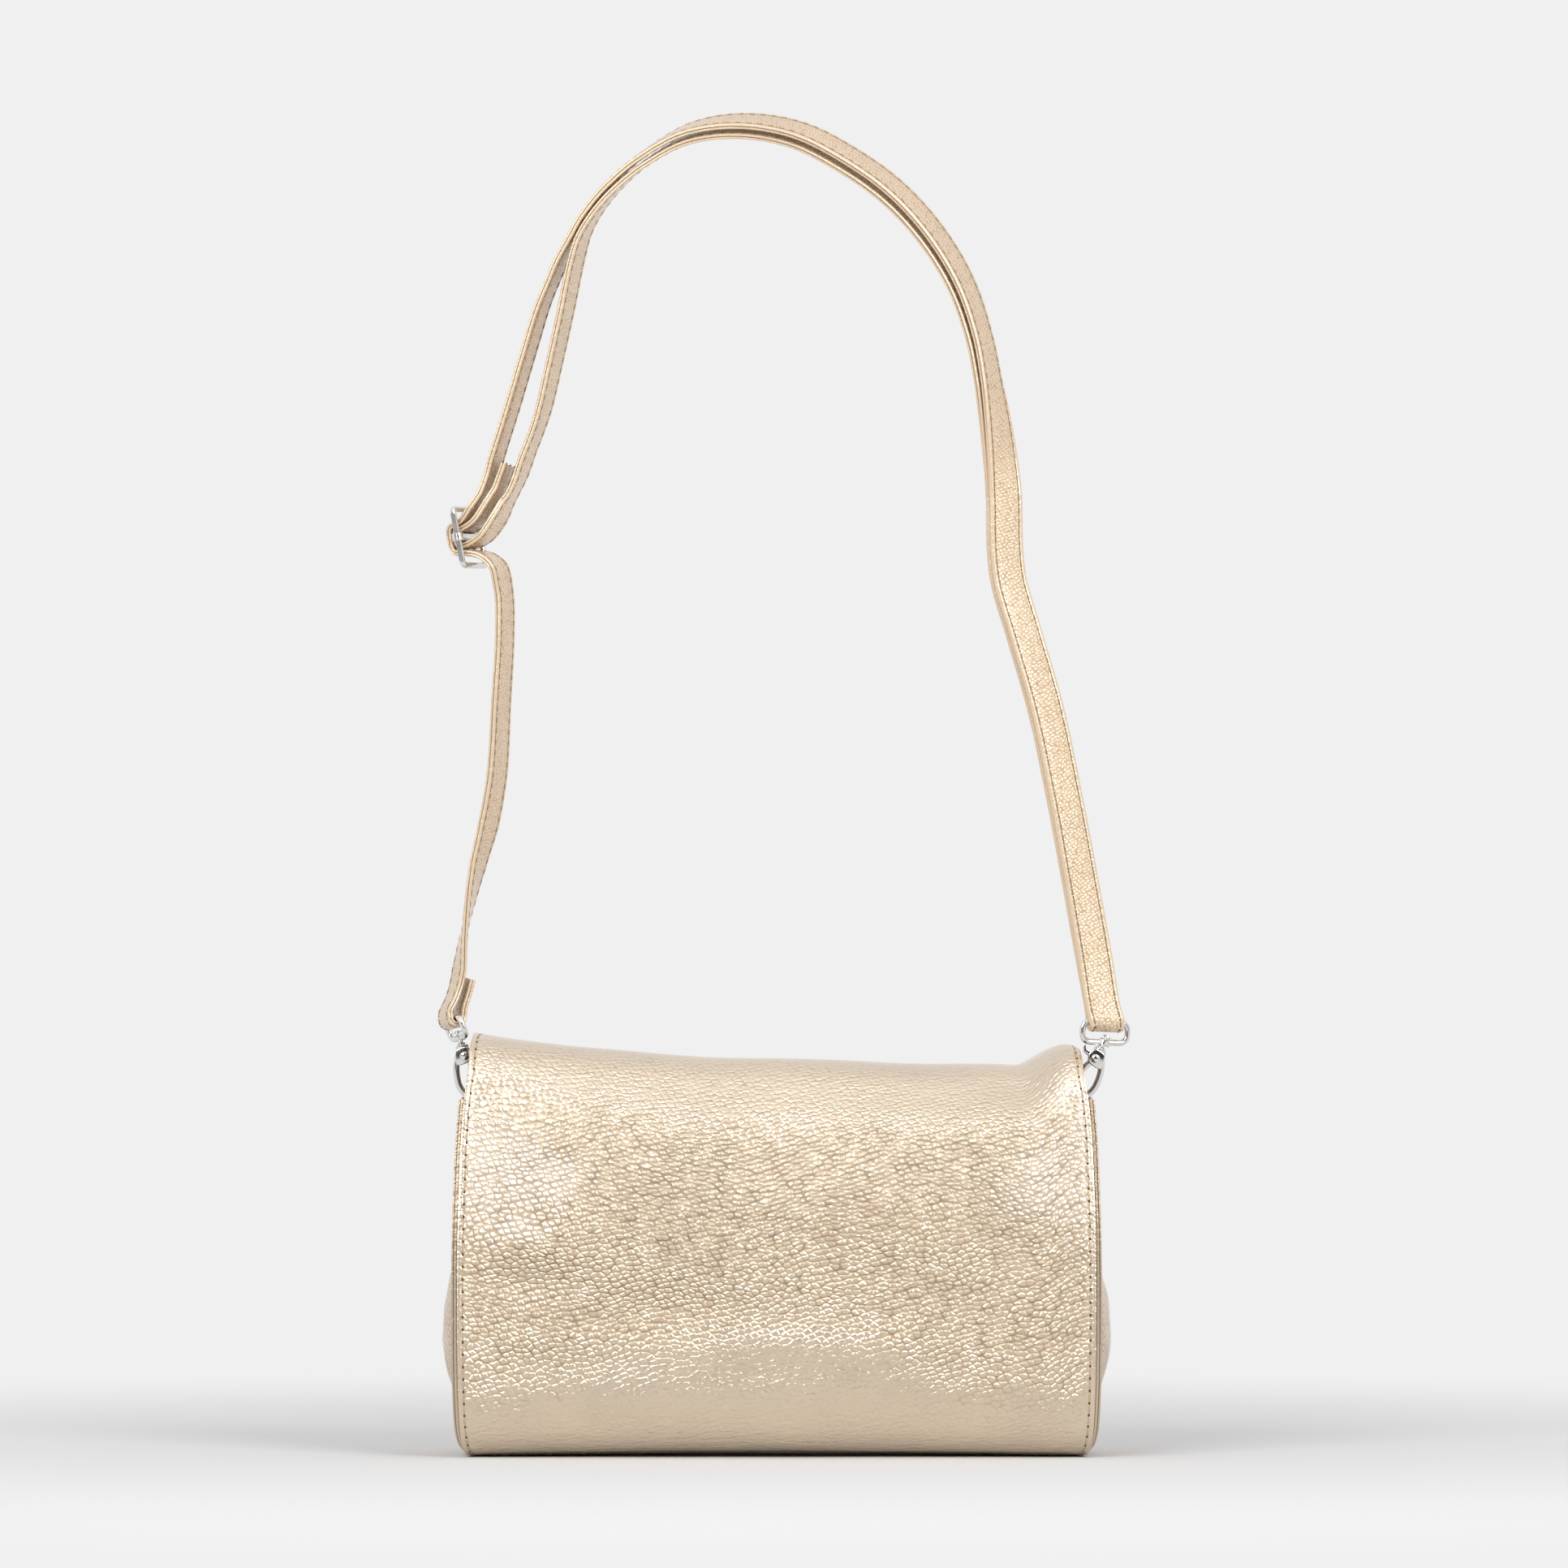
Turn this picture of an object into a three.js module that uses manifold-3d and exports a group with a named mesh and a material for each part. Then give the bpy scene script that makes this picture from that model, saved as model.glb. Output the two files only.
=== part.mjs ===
// Crossbody bag in pebbled metallic leatherette, with a flap and an adjustable clip-on strap.
// Millimetres, +Z up. The origin is the middle of the base. The sewn rear face looks along -Y,
// the flap closes on the +Y side, and the strap is doubled from its slider to the right hook.

import * as THREE from 'three';
import { mergeVertices } from 'three/addons/utils/BufferGeometryUtils.js';
import Module from 'manifold-3d';

const wasm = await Module();
wasm.setup();

// Bag body
const BAG_WIDTH = 250;         // across the panels, seam edge to seam edge
const BASE_WIDTH = 242;        // the panels draw in a little towards the base
const MOUTH_WIDTH = 243;       // and towards the mouth
const BODY_HEIGHT = 143;       // top of the sewn seams
const BODY_DEPTH = 72;         // at the seams, where the sides are fullest
const FULLEST_HEIGHT = 52;     // height of that fullest depth
const MOUTH_DEPTH = 52;        // front to rear at the top of the seams
const BASE_FLAT = 24;          // depth of the flat strip that the bag stands on
const PUFF = 4;                // extra swell of each panel at the middle of its width
const BASE_DRAW_IN = 30;       // height over which the width opens out from the base
const MOUTH_DRAW_IN = 43;      // height over which the width closes towards the mouth
const PANEL_T = 1.6;           // leatherette with its backing
const LINING_T = 0.9;
const SEWN_GAP = 0.3;          // clearance between layers that are sewn together

// Gussets, base board and inner pocket
const FLANGE_WIDTH = 6;        // seam allowance turned outwards
const FLANGE_T = 1.4;
const GUSSET_T = 1.4;
const GUSSET_SWELL = 12;       // how far the gusset bellies out
const SWELL_HEIGHT = 49;       // height of the fullest belly
const SWELL_SPREAD = 38;       // how far up and down the belly spreads
const GUSSET_DIP = 13;         // the gusset's top edge dips between its seams
const BOARD_T = 1.5;
const BOARD_INSET = 10;
const POCKET_WIDTH = 120;
const POCKET_LOW = 55;         // heights of the pocket's lower and upper edges
const POCKET_HIGH = 118;

// Flap and magnetic snap
const FLAP_T = 1.8;
const FLAP_FILL = 1.1;         // room for the washer between the flap and its lining
const FLAP_RISE = 23;          // height of the flap's fold over the mouth
const FLAP_SAG = 9;            // the fold sinks in the middle
const FLAP_SHOULDER_WIDTH = 235;
const FLAP_WAIST_WIDTH = 220;  // narrow enough to pass between the rings
const FLAP_FRONT_WIDTH = 214;
const FLAP_END_WIDTH = 198;
const FLAP_CORNER = 26;
const FLAP_END_HEIGHT = 62;    // free edge, above the base
const FLAP_GAP = 0.5;          // along the fold line at the rear
const FLAP_HEM = 3;            // the flap's lining stops short of its edge
const SNAP_HEIGHT = 82;
const SNAP_RADIUS = 7;
const SOCKET_T = 1.6;
const STUD_T = 1;
const STUD_NUB_RADIUS = 2;
const STUD_NUB_LENGTH = 0.8;
const SOCKET_HOLE_RADIUS = 2.9;
const WASHER_RADIUS = 8;
const WASHER_T = 0.5;
const CURVE_ROOM = 0.3;        // a flat washer clears the curve of the panel behind it

// Ring tabs and D-rings
const RING_WIRE = 2.4;
const RING_INNER_WIDTH = 15;
const RING_ABOVE_GUSSET = 3;   // middle of the bar, above the dip in the gusset's top edge
const RING_BAR_HEIGHT = BODY_HEIGHT - GUSSET_DIP + RING_ABOVE_GUSSET;
const RING_SIDE = 3.3;         // straight side between the bar and the bow
const RING_CORNER = 1.6;
const TAB_WIDTH = 13;
const TAB_T = 3;               // two plies sewn together
const TAB_DROP = 20;           // sewn length below the bar
const TAB_PLY = 1.5;

// Swivel hooks, measured from the D-ring's bow up the hook's own post
const HOOK_WIRE = 2.6;
const HOOK_SEAT_GAP = 0.9;
const HOOK_T = 5.8;            // thickness of the head
const HOOK_HALF_MOUTH = 5.2;   // from the post's line to the middle of the wire
const GATE_PIVOT = 12.5;
const EAR_RADIUS = 3.1;
const GATE_SLOT = 3.4;
const GATE_T = 1.6;
const GATE_SIDE_SHIFT = -0.6;  // the gate sits to one side, beside its spring
const GATE_HUB_RADIUS = 2.2;
const GATE_END_HEIGHT = 3.6;
const RIVET_RADIUS = 0.8;
const RIVET_HEAD_RADIUS = 1.8;
const RIVET_HEAD_T = 0.6;
const SPRING_WIRE = 0.4;
const SPRING_TURNS = 1.5;
const SPRING_PITCH = 0.55;     // along the rivet, for each turn
const SPRING_ROOM = 0.45;      // between the rivet and the coil
const SPRING_LEG = 2.3;        // straight end that bears on the gate or the head
const COLLAR_LOW = 15.4;       // the collar between the head and the neck
const COLLAR_HIGH = 16.8;
const COLLAR_RADIUS = 2.6;
const NECK_RADIUS = 1.7;
const NECK_HIGH = 17.7;
const POST_RADIUS = 0.95;      // the post goes on through the eye and is riveted over inside it
const POST_HEAD_RADIUS = 1.9;
const POST_HEAD_T = 0.8;
const BOSS_RADIUS = 2.5;       // the eye's bar widens round the post
const BOSS_HOLE_RADIUS = 1.3;
const EYE_PLAY = 0.9;          // end play of the eye on its post, which lets it tip
const RUN_GAP = 0.3;           // running clearance of the small metal parts

// Swivel eyes
const EYE_INNER_WIDTH = 16;
const EYE_HEIGHT = 10.5;       // over the wire
const EYE_CORNER = 3.2;

// Strap and slider
const STRAP_WIDTH = 14;
const STRAP_T = 2.5;           // two plies, glued and stitched
const STRAND_GAP = 0.5;        // between the two strands where they lie together
const LOOP_GAP = 0.35;         // between the strap and the bar that it goes round
const SLIDER_HEIGHT = 25;
const SLIDER_WIRE = 2.4;
const SLIDER_SIDE_GAP = 1.5;   // each side of the strap
const SLIDER_BAR_T = 1.8;
const SLIDER_BAR_HEIGHT = 3.2;
const SLIDER_PLACE = [-121, 361];   // X and Z of the slider's middle
const SLIDER_LEAN = 12;        // degrees from upright
const SLIDER_TURN = 26;        // degrees that the strap is turned there

// Each hook hangs at its own lean, and its eye is turned its own way, in degrees.
// The eye is loose on its post, so it leans by an angle of its own.
const SIDES = {
  left: { sign: -1, lean: 16, eyeTurn: -22, eyeLean: 20 },
  right: { sign: 1, lean: 29, eyeTurn: 75, eyeLean: 3 },
};

const leather = { color: 0xd8c5a0, roughness: 0.42, metalness: 0.35 };
const strapLeather = { color: 0xd9c6a3, roughness: 0.45, metalness: 0.3 };
const cloth = { color: 0xc9b58f, roughness: 0.9, metalness: 0 };
const board = { color: 0x8d7c62, roughness: 0.95, metalness: 0 };
const nickel = { color: 0xd3d4d4, roughness: 0.18, metalness: 1 };
const steel = { color: 0xa9abac, roughness: 0.35, metalness: 1 };

const bag = new THREE.Group();
const rad = THREE.MathUtils.degToRad;
const { lerp, smoothstep } = THREE.MathUtils;

function add(name, geometry, finish) {
  const mesh = new THREE.Mesh(geometry, new THREE.MeshStandardMaterial(finish));
  mesh.name = name;
  bag.add(mesh);
}

// Solids joined and cut
function solid(geometry) {
  const bare = geometry.clone();
  bare.deleteAttribute('normal');
  bare.deleteAttribute('uv');
  const merged = mergeVertices(bare, 1e-4);
  const vertProperties = new Float32Array(merged.attributes.position.array);
  const triVerts = new Uint32Array(merged.index.array);
  return new wasm.Manifold(new wasm.Mesh({ numProp: 3, vertProperties, triVerts }));
}

function geometryOf(manifold) {
  const mesh = manifold.getMesh();
  const geometry = new THREE.BufferGeometry();
  geometry.setAttribute('position', new THREE.BufferAttribute(mesh.vertProperties, 3));
  geometry.setIndex(new THREE.BufferAttribute(mesh.triVerts, 1));
  return geometry;
}

function join(first, ...others) {
  return others.reduce((whole, part) => whole.add(solid(part)), solid(first));
}

function cut(whole, ...tools) {
  return tools.reduce((rest, tool) => rest.subtract(solid(tool)), whole);
}

// A closed mesh from its points and triangles, turned so that its faces look outwards
function closed(points, triangles) {
  const corner = (k) => points[triangles[k]];
  let volume = 0;
  for (let k = 0; k < triangles.length; k += 3) {
    volume += corner(k).dot(corner(k + 1).clone().cross(corner(k + 2)));
  }
  const geometry = new THREE.BufferGeometry().setFromPoints(points);
  geometry.setIndex(volume < 0 ? triangles.slice().reverse() : triangles);
  return geometry;
}

// A sheet between two depths: place(u, v, depth) gives its points, with u and v from 0 to 1
function sheet(place, acrossSteps, alongSteps, outerDepth, innerDepth) {
  const points = [];
  const triangles = [];
  const rows = alongSteps + 1;
  const columns = acrossSteps + 1;
  for (const depth of [outerDepth, innerDepth]) {
    for (let j = 0; j < rows; j += 1) {
      for (let i = 0; i < columns; i += 1) {
        points.push(place(i / acrossSteps, j / alongSteps, depth));
      }
    }
  }
  const at = (layer, i, j) => layer * rows * columns + j * columns + i;
  const quad = (a, b, c, d) => triangles.push(a, b, c, a, c, d);
  for (let j = 0; j < alongSteps; j += 1) {
    for (let i = 0; i < acrossSteps; i += 1) {
      quad(at(0, i, j), at(0, i + 1, j), at(0, i + 1, j + 1), at(0, i, j + 1));
      quad(at(1, i, j), at(1, i, j + 1), at(1, i + 1, j + 1), at(1, i + 1, j));
    }
    quad(at(0, 0, j), at(0, 0, j + 1), at(1, 0, j + 1), at(1, 0, j));
    quad(at(0, acrossSteps, j), at(1, acrossSteps, j), at(1, acrossSteps, j + 1), at(0, acrossSteps, j + 1));
  }
  for (let i = 0; i < acrossSteps; i += 1) {
    quad(at(0, i, 0), at(1, i, 0), at(1, i + 1, 0), at(0, i + 1, 0));
    quad(at(0, i, alongSteps), at(0, i + 1, alongSteps), at(1, i + 1, alongSteps), at(1, i, alongSteps));
  }
  return closed(points, triangles);
}

// Round bars and boxes placed in a frame of their own
function rod(radius, from, to, sides = 16) {
  const axis = new THREE.Vector3().subVectors(to, from);
  const geometry = new THREE.CylinderGeometry(radius, radius, axis.length(), sides);
  const upright = new THREE.Vector3(0, 1, 0);
  const turn = new THREE.Quaternion().setFromUnitVectors(upright, axis.clone().normalize());
  geometry.applyQuaternion(turn);
  const middle = from.clone().add(to).multiplyScalar(0.5);
  return geometry.translate(middle.x, middle.y, middle.z);
}

function block(low, high) {
  const size = high.map((value, k) => value - low[k]);
  const middle = high.map((value, k) => (value + low[k]) / 2);
  return new THREE.BoxGeometry(...size).translate(...middle);
}

const vec = (x, y, z) => new THREE.Vector3(x, y, z);

// Body form: one half of the upright section, from the edge of the base flat to the mouth
const LOWER_SHARE = 0.4;

function halfSection(v) {
  const full = BODY_DEPTH / 2;
  if (v < LOWER_SHARE) {
    const angle = (v / LOWER_SHARE) * (Math.PI / 2);
    const run = full - BASE_FLAT / 2;
    return [BASE_FLAT / 2 + run * Math.sin(angle), FULLEST_HEIGHT * (1 - Math.cos(angle))];
  }
  const rise = (v - LOWER_SHARE) / (1 - LOWER_SHARE);
  const z = lerp(FULLEST_HEIGHT, BODY_HEIGHT, rise);
  return [full - (full - MOUTH_DEPTH / 2) * rise ** 1.8, z];
}

// How far up the section a height is, above the fullest part
function sectionShare(z) {
  return LOWER_SHARE + (1 - LOWER_SHARE) * (z - FULLEST_HEIGHT) / (BODY_HEIGHT - FULLEST_HEIGHT);
}

// The same section moved inwards by a depth
function offsetSection(v, depth) {
  const step = 1e-3;
  const low = halfSection(Math.max(0, v - step));
  const high = halfSection(Math.min(1, v + step));
  const [y, z] = halfSection(v);
  const length = Math.hypot(high[0] - low[0], high[1] - low[1]);
  const outY = (high[1] - low[1]) / length;
  const outZ = -(high[0] - low[0]) / length;
  return [y - outY * depth, z - outZ * depth];
}

function widthAt(z) {
  const low = Math.max(0, 1 - z / BASE_DRAW_IN);
  const high = Math.max(0, (z - (BODY_HEIGHT - MOUTH_DRAW_IN)) / MOUTH_DRAW_IN);
  return BAG_WIDTH - (BAG_WIDTH - BASE_WIDTH) * low ** 2 - (BAG_WIDTH - MOUTH_WIDTH) * high ** 2;
}

// Swell of a panel at x and z
function puffAt(x, z) {
  const across = 1 - (2 * x / BAG_WIDTH) ** 2;
  return PUFF * Math.sin(Math.PI * THREE.MathUtils.clamp(z / BODY_HEIGHT, 0, 1)) * Math.max(0, across);
}

// A point of the body: x as if the bag were straight sided, then drawn in and swollen
function bodyPoint(x, y, z) {
  const narrowed = x * widthAt(z) / BAG_WIDTH;
  const fullness = Math.abs(y) / (BODY_DEPTH / 2);
  return vec(narrowed, y + Math.sign(y) * puffAt(x, z) * Math.min(1, fullness), z);
}

// A stretch of one panel: side is -1 at the rear and 1 at the front
function panelStretch(side, halfWidth, low, high, outerDepth, innerDepth, across, along) {
  const place = (u, v, depth) => {
    const [y, z] = offsetSection(lerp(low, high, v), depth);
    return bodyPoint(lerp(-halfWidth, halfWidth, u), side * y, z);
  };
  return sheet(place, across, along, outerDepth, innerDepth);
}

// The whole section, from the rear mouth under the base to the front mouth, t from -1 to 1
const FLAT_SHARE = 0.12;

function wrapPoint(x, t, depth) {
  const reach = Math.abs(t);
  if (reach <= FLAT_SHARE) return bodyPoint(x, (t / FLAT_SHARE) * (BASE_FLAT / 2), depth);
  const [y, z] = offsetSection((reach - FLAT_SHARE) / (1 - FLAT_SHARE), depth);
  return bodyPoint(x, Math.sign(t) * y, z);
}

// Leatherette panels of the body
function makePanels() {
  const half = BAG_WIDTH / 2;
  add('rear_panel', panelStretch(-1, half, 0, 1, 0, PANEL_T, 8, 16), leather);
  add('front_panel', panelStretch(1, half, 0, 1, 0, PANEL_T, 8, 16), leather);
  const baseHalf = BASE_WIDTH / 2;
  const flat = BASE_FLAT / 2 - SEWN_GAP;
  add('base_panel', block([-baseHalf, -flat, 0], [baseHalf, flat, PANEL_T]), leather);
}

// Gusset outer face, straight sided: the web swells outwards between its seams
const WEB_PLACE = BAG_WIDTH / 2 - FLANGE_WIDTH;
const SEAM_DEPTH = PANEL_T + SEWN_GAP;

function webSwell(y, z) {
  const rise = Math.exp(-(((z - SWELL_HEIGHT) / SWELL_SPREAD) ** 2));
  const inner = Math.max(0, 1 - (2 * y / BODY_DEPTH) ** 2);
  return GUSSET_SWELL * rise * inner;
}

// An upright web across the bag's end, between the seams, with a dipped top edge
function endWeb(sign, place, depth, dip, swell, thickness) {
  const point = (u, v, inward) => {
    const [reach, height] = offsetSection(v, depth);
    const y = lerp(-reach, reach, u);
    const z = height - dip * (1 - (2 * u - 1) ** 2) * v ** 3;
    return bodyPoint(sign * (place + (swell ? webSwell(y, z) : 0) - inward), y, z);
  };
  return sheet(point, swell ? 6 : 4, swell ? 12 : 7, 0, thickness);
}

function makeGusset(name, sign) {
  const inner = WEB_PLACE - GUSSET_T;
  const outer = BAG_WIDTH / 2 - SEWN_GAP;
  const flange = (u, v, depth) => wrapPoint(sign * lerp(inner, outer, u), lerp(-1, 1, v), depth);
  const seam = sheet(flange, 1, 34, SEAM_DEPTH, SEAM_DEPTH + FLANGE_T);
  const web = endWeb(sign, WEB_PLACE, SEAM_DEPTH + FLANGE_T / 2, GUSSET_DIP, true, GUSSET_T);
  add(`${name}_gusset`, geometryOf(join(seam, web)), leather);
}

// Lining: an open-topped bag just inside the seams, with a slip pocket on its rear wall
const LINING_DEPTH = SEAM_DEPTH + FLANGE_T + SEWN_GAP + 0.1;
const LINING_END = WEB_PLACE - GUSSET_T - SEWN_GAP;

function makeLining() {
  const wrap = (u, v, depth) => wrapPoint(lerp(-LINING_END, LINING_END, u), lerp(-1, 1, v), depth);
  const walls = sheet(wrap, 4, 20, LINING_DEPTH, LINING_DEPTH + LINING_T);
  const ends = [-1, 1].map((sign) => (
    endWeb(sign, LINING_END, LINING_DEPTH + LINING_T / 2, GUSSET_DIP, false, LINING_T)));
  add('lining', geometryOf(join(walls, ...ends)), cloth);
  const pocketDepth = LINING_DEPTH + LINING_T + SEWN_GAP + CURVE_ROOM;
  const pocket = panelStretch(-1, POCKET_WIDTH / 2, sectionShare(POCKET_LOW), sectionShare(POCKET_HIGH),
    pocketDepth, pocketDepth + LINING_T, 6, 8);
  add('slip_pocket', pocket, cloth);
  const boardHalf = BASE_WIDTH / 2 - BOARD_INSET;
  const boardDepth = BASE_FLAT / 2 - SEWN_GAP;
  const boardTop = SEAM_DEPTH + BOARD_T;
  add('base_board', block([-boardHalf, -boardDepth, SEAM_DEPTH], [boardHalf, boardDepth, boardTop]), board);
}

// Flap: it goes on from the rear panel over the mouth and hangs down the front
const SNAP_STACK = SEWN_GAP + SOCKET_T + SEWN_GAP + STUD_T + SEWN_GAP;
const FLAP_STANDOFF = FLAP_T + FLAP_FILL + LINING_T + SNAP_STACK;
const FOLD_SHARE = 0.48;
const FOLD_RUN = (MOUTH_DEPTH + FLAP_STANDOFF) / 2;

function frontDepth(z) {
  const rise = (z - FULLEST_HEIGHT) / (BODY_HEIGHT - FULLEST_HEIGHT);
  return BODY_DEPTH / 2 - (BODY_DEPTH - MOUTH_DEPTH) / 2 * rise ** 1.8;
}

function flapSection(s) {
  if (s < FOLD_SHARE) {
    const angle = (s / FOLD_SHARE) * Math.PI;
    const y = FLAP_STANDOFF / 2 - FOLD_RUN * Math.cos(angle);
    return [y, BODY_HEIGHT + FLAP_GAP + FLAP_RISE * Math.sin(angle)];
  }
  const z = lerp(BODY_HEIGHT, FLAP_END_HEIGHT, (s - FOLD_SHARE) / (1 - FOLD_SHARE));
  return [frontDepth(z) + FLAP_STANDOFF, z];
}

function flapHalfWidth(s) {
  const [y, z] = flapSection(s);
  if (s < FOLD_SHARE) {
    const climb = smoothstep(z, BODY_HEIGHT, BODY_HEIGHT + FLAP_RISE * 0.7);
    const shoulder = lerp(MOUTH_WIDTH, FLAP_SHOULDER_WIDTH, climb) / 2;
    const waist = lerp(shoulder, FLAP_WAIST_WIDTH / 2, smoothstep(y, -FOLD_RUN * 0.5, -FOLD_RUN * 0.1));
    return y < 0 ? waist : lerp(FLAP_WAIST_WIDTH, FLAP_FRONT_WIDTH, y / FOLD_RUN) / 2;
  }
  const down = (BODY_HEIGHT - z) / (BODY_HEIGHT - FLAP_END_HEIGHT);
  const straight = lerp(FLAP_FRONT_WIDTH, FLAP_END_WIDTH, down) / 2;
  const short = Math.max(0, FLAP_CORNER - (z - FLAP_END_HEIGHT));
  return straight - FLAP_CORNER + Math.sqrt(FLAP_CORNER ** 2 - short ** 2);
}

function flapPoint(u, s, depth, hem) {
  const step = 1e-3;
  const low = flapSection(Math.max(0, s - step));
  const high = flapSection(Math.min(1, s + step));
  const length = Math.hypot(high[0] - low[0], high[1] - low[1]);
  const [y, z] = flapSection(s);
  const x = lerp(-1, 1, u) * (flapHalfWidth(s) - hem);
  const folded = s < FOLD_SHARE ? Math.sin((s / FOLD_SHARE) * Math.PI) : 0;
  const across = 1 - lerp(-1, 1, u) ** 2;
  const sunk = FLAP_SAG * folded * across;
  const swollen = s < FOLD_SHARE ? 0 : puffAt(x, z);
  const outY = -(high[1] - low[1]) / length;
  const outZ = (high[0] - low[0]) / length;
  return vec(x, y + swollen - outY * depth, z - sunk - outZ * depth);
}

// Where a face of the snap sits on the front, and the way that it looks
function snapFrame(depthOut) {
  const step = 0.5;
  const slope = (frontDepth(SNAP_HEIGHT + step) + puffAt(0, SNAP_HEIGHT + step)
    - frontDepth(SNAP_HEIGHT - step) - puffAt(0, SNAP_HEIGHT - step)) / (2 * step);
  const out = vec(0, 1, -slope).normalize();
  const seat = vec(0, frontDepth(SNAP_HEIGHT) + puffAt(0, SNAP_HEIGHT), SNAP_HEIGHT);
  return { out, at: seat.addScaledVector(out, depthOut) };
}

function disc(radius, from, thickness, sides = 24) {
  const { out, at } = snapFrame(from);
  return rod(radius, at, at.clone().addScaledVector(out, thickness), sides);
}

function makeFlap() {
  const outer = (u, v, depth) => flapPoint(u, v, depth, 0);
  add('flap', sheet(outer, 10, 26, 0, FLAP_T), leather);
  const start = 0.04;
  const end = 0.985;
  const inner = (u, v, depth) => flapPoint(u, lerp(start, end, v), depth, FLAP_HEM);
  const liningDepth = FLAP_T + FLAP_FILL;
  add('flap_lining', sheet(inner, 6, 18, liningDepth, liningDepth + LINING_T), cloth);
  const socketFoot = SEWN_GAP;
  const studFoot = FLAP_STANDOFF - liningDepth - LINING_T - SEWN_GAP;
  const studFace = studFoot - STUD_T;
  const socketHole = disc(SOCKET_HOLE_RADIUS, -1, SOCKET_T + 3);
  const socket = cut(solid(disc(SNAP_RADIUS, socketFoot, SOCKET_T)), socketHole);
  add('snap_socket', geometryOf(socket), nickel);
  const nubEnd = studFace - STUD_NUB_LENGTH;
  const nub = disc(STUD_NUB_RADIUS, nubEnd, STUD_NUB_LENGTH + STUD_T / 2);
  const stud = join(disc(SNAP_RADIUS, studFace, STUD_T), nub);
  add('snap_stud', geometryOf(stud), nickel);
  add('socket_washer', disc(WASHER_RADIUS, -PANEL_T - CURVE_ROOM - SEWN_GAP - WASHER_T, WASHER_T), steel);
  const fillMiddle = FLAP_STANDOFF - FLAP_T - FLAP_FILL / 2 - WASHER_T / 2;
  add('stud_washer', disc(WASHER_RADIUS, fillMiddle, WASHER_T), steel);
}

// D-ring: a bar in the tab, short straight sides and a round bow, standing in the YZ plane
const RING_HALF = (RING_INNER_WIDTH + RING_WIRE) / 2;
const RING_TOP = RING_BAR_HEIGHT + RING_SIDE + RING_HALF;

function gussetFace(y, z) {
  return bodyPoint(WEB_PLACE + webSwell(y, z), y, z).x;
}

const TAB_INNER = gussetFace(0, RING_BAR_HEIGHT - TAB_PLY) + SEWN_GAP + CURVE_ROOM;
const RING_PLACE = TAB_INNER + TAB_T / 2;

class RingPath extends THREE.Curve {
  constructor(place) {
    super();
    this.place = place;
    const path = new THREE.Path();
    path.moveTo(0, 0);
    path.lineTo(RING_HALF - RING_CORNER, 0);
    path.absarc(RING_HALF - RING_CORNER, RING_CORNER, RING_CORNER, -Math.PI / 2, 0);
    path.lineTo(RING_HALF, RING_SIDE);
    path.absarc(0, RING_SIDE, RING_HALF, 0, Math.PI);
    path.lineTo(-RING_HALF, RING_CORNER);
    path.absarc(-RING_HALF + RING_CORNER, RING_CORNER, RING_CORNER, Math.PI, Math.PI * 1.5);
    path.lineTo(0, 0);
    this.path = path;
  }

  getPoint(t, target = new THREE.Vector3()) {
    const p = this.path.getPointAt(t % 1);
    return target.set(this.place, p.x, RING_BAR_HEIGHT + p.y);
  }
}

function makeTabAndRing(name, sign) {
  const half = TAB_WIDTH / 2;
  const low = RING_BAR_HEIGHT - TAB_DROP;
  const leg = (u, v, depth) => {
    const y = lerp(-half, half, u);
    const z = lerp(low, RING_BAR_HEIGHT, v);
    const face = gussetFace(0, Math.min(z, RING_BAR_HEIGHT - TAB_PLY)) + SEWN_GAP + CURVE_ROOM;
    return vec(sign * (face + depth), y, z);
  };
  const across = (reach) => [-reach, reach].map((y) => vec(sign * RING_PLACE, y, RING_BAR_HEIGHT));
  const bore = RING_WIRE / 2 + RUN_GAP;
  const strip = join(sheet(leg, 2, 8, 0, TAB_T), rod(bore + TAB_PLY, ...across(half), 20));
  add(`${name}_ring_tab`, geometryOf(cut(strip, rod(bore, ...across(half + 1), 20))), leather);
  const ring = new THREE.TubeGeometry(new RingPath(sign * RING_PLACE), 26, RING_WIRE / 2, 8, true);
  add(`${name}_d_ring`, mergeVertices(ring), nickel);
}

// Hook: built upright about its post, then leaned and turned to its side of the bag
function hookMatrix({ sign, lean }) {
  const place = new THREE.Matrix4().makeTranslation(sign * RING_PLACE, 0, RING_TOP);
  const turn = new THREE.Matrix4().makeRotationZ(sign < 0 ? Math.PI : 0);
  const tilt = new THREE.Matrix4().makeRotationY(rad(lean));
  return place.multiply(turn).multiply(tilt);
}

const HOOK_BOTTOM = -(RING_WIRE / 2 + HOOK_SEAT_GAP + HOOK_WIRE / 2);
const EYE_ON_POST = NECK_HIGH + EYE_PLAY + RING_WIRE / 2;
const POST_HEAD_LOW = EYE_ON_POST + RING_WIRE / 2 + EYE_PLAY;

function wireSection(radius, sides = 8) {
  const shape = new THREE.Shape();
  for (let k = 0; k < sides; k += 1) {
    const angle = (k / sides) * 2 * Math.PI;
    const point = [radius * Math.cos(angle), radius * Math.sin(angle)];
    if (k === 0) shape.moveTo(...point);
    else shape.lineTo(...point);
  }
  shape.closePath();
  return shape;
}

function wire(points, radius, steps, sides = 8) {
  const path = new THREE.CatmullRomCurve3(points, false, 'centripetal');
  return new THREE.ExtrudeGeometry(wireSection(radius, sides), { steps, extrudePath: path });
}

// A flat plate outlined in the hook's plane, between two places across its thickness
function plate(outline, low, high) {
  const shape = new THREE.Shape(outline.map(([u, v]) => new THREE.Vector2(u, v)));
  const geometry = new THREE.ExtrudeGeometry(shape, { depth: high - low, bevelEnabled: false });
  geometry.rotateX(Math.PI / 2);
  return geometry.translate(0, high, 0);
}

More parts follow.
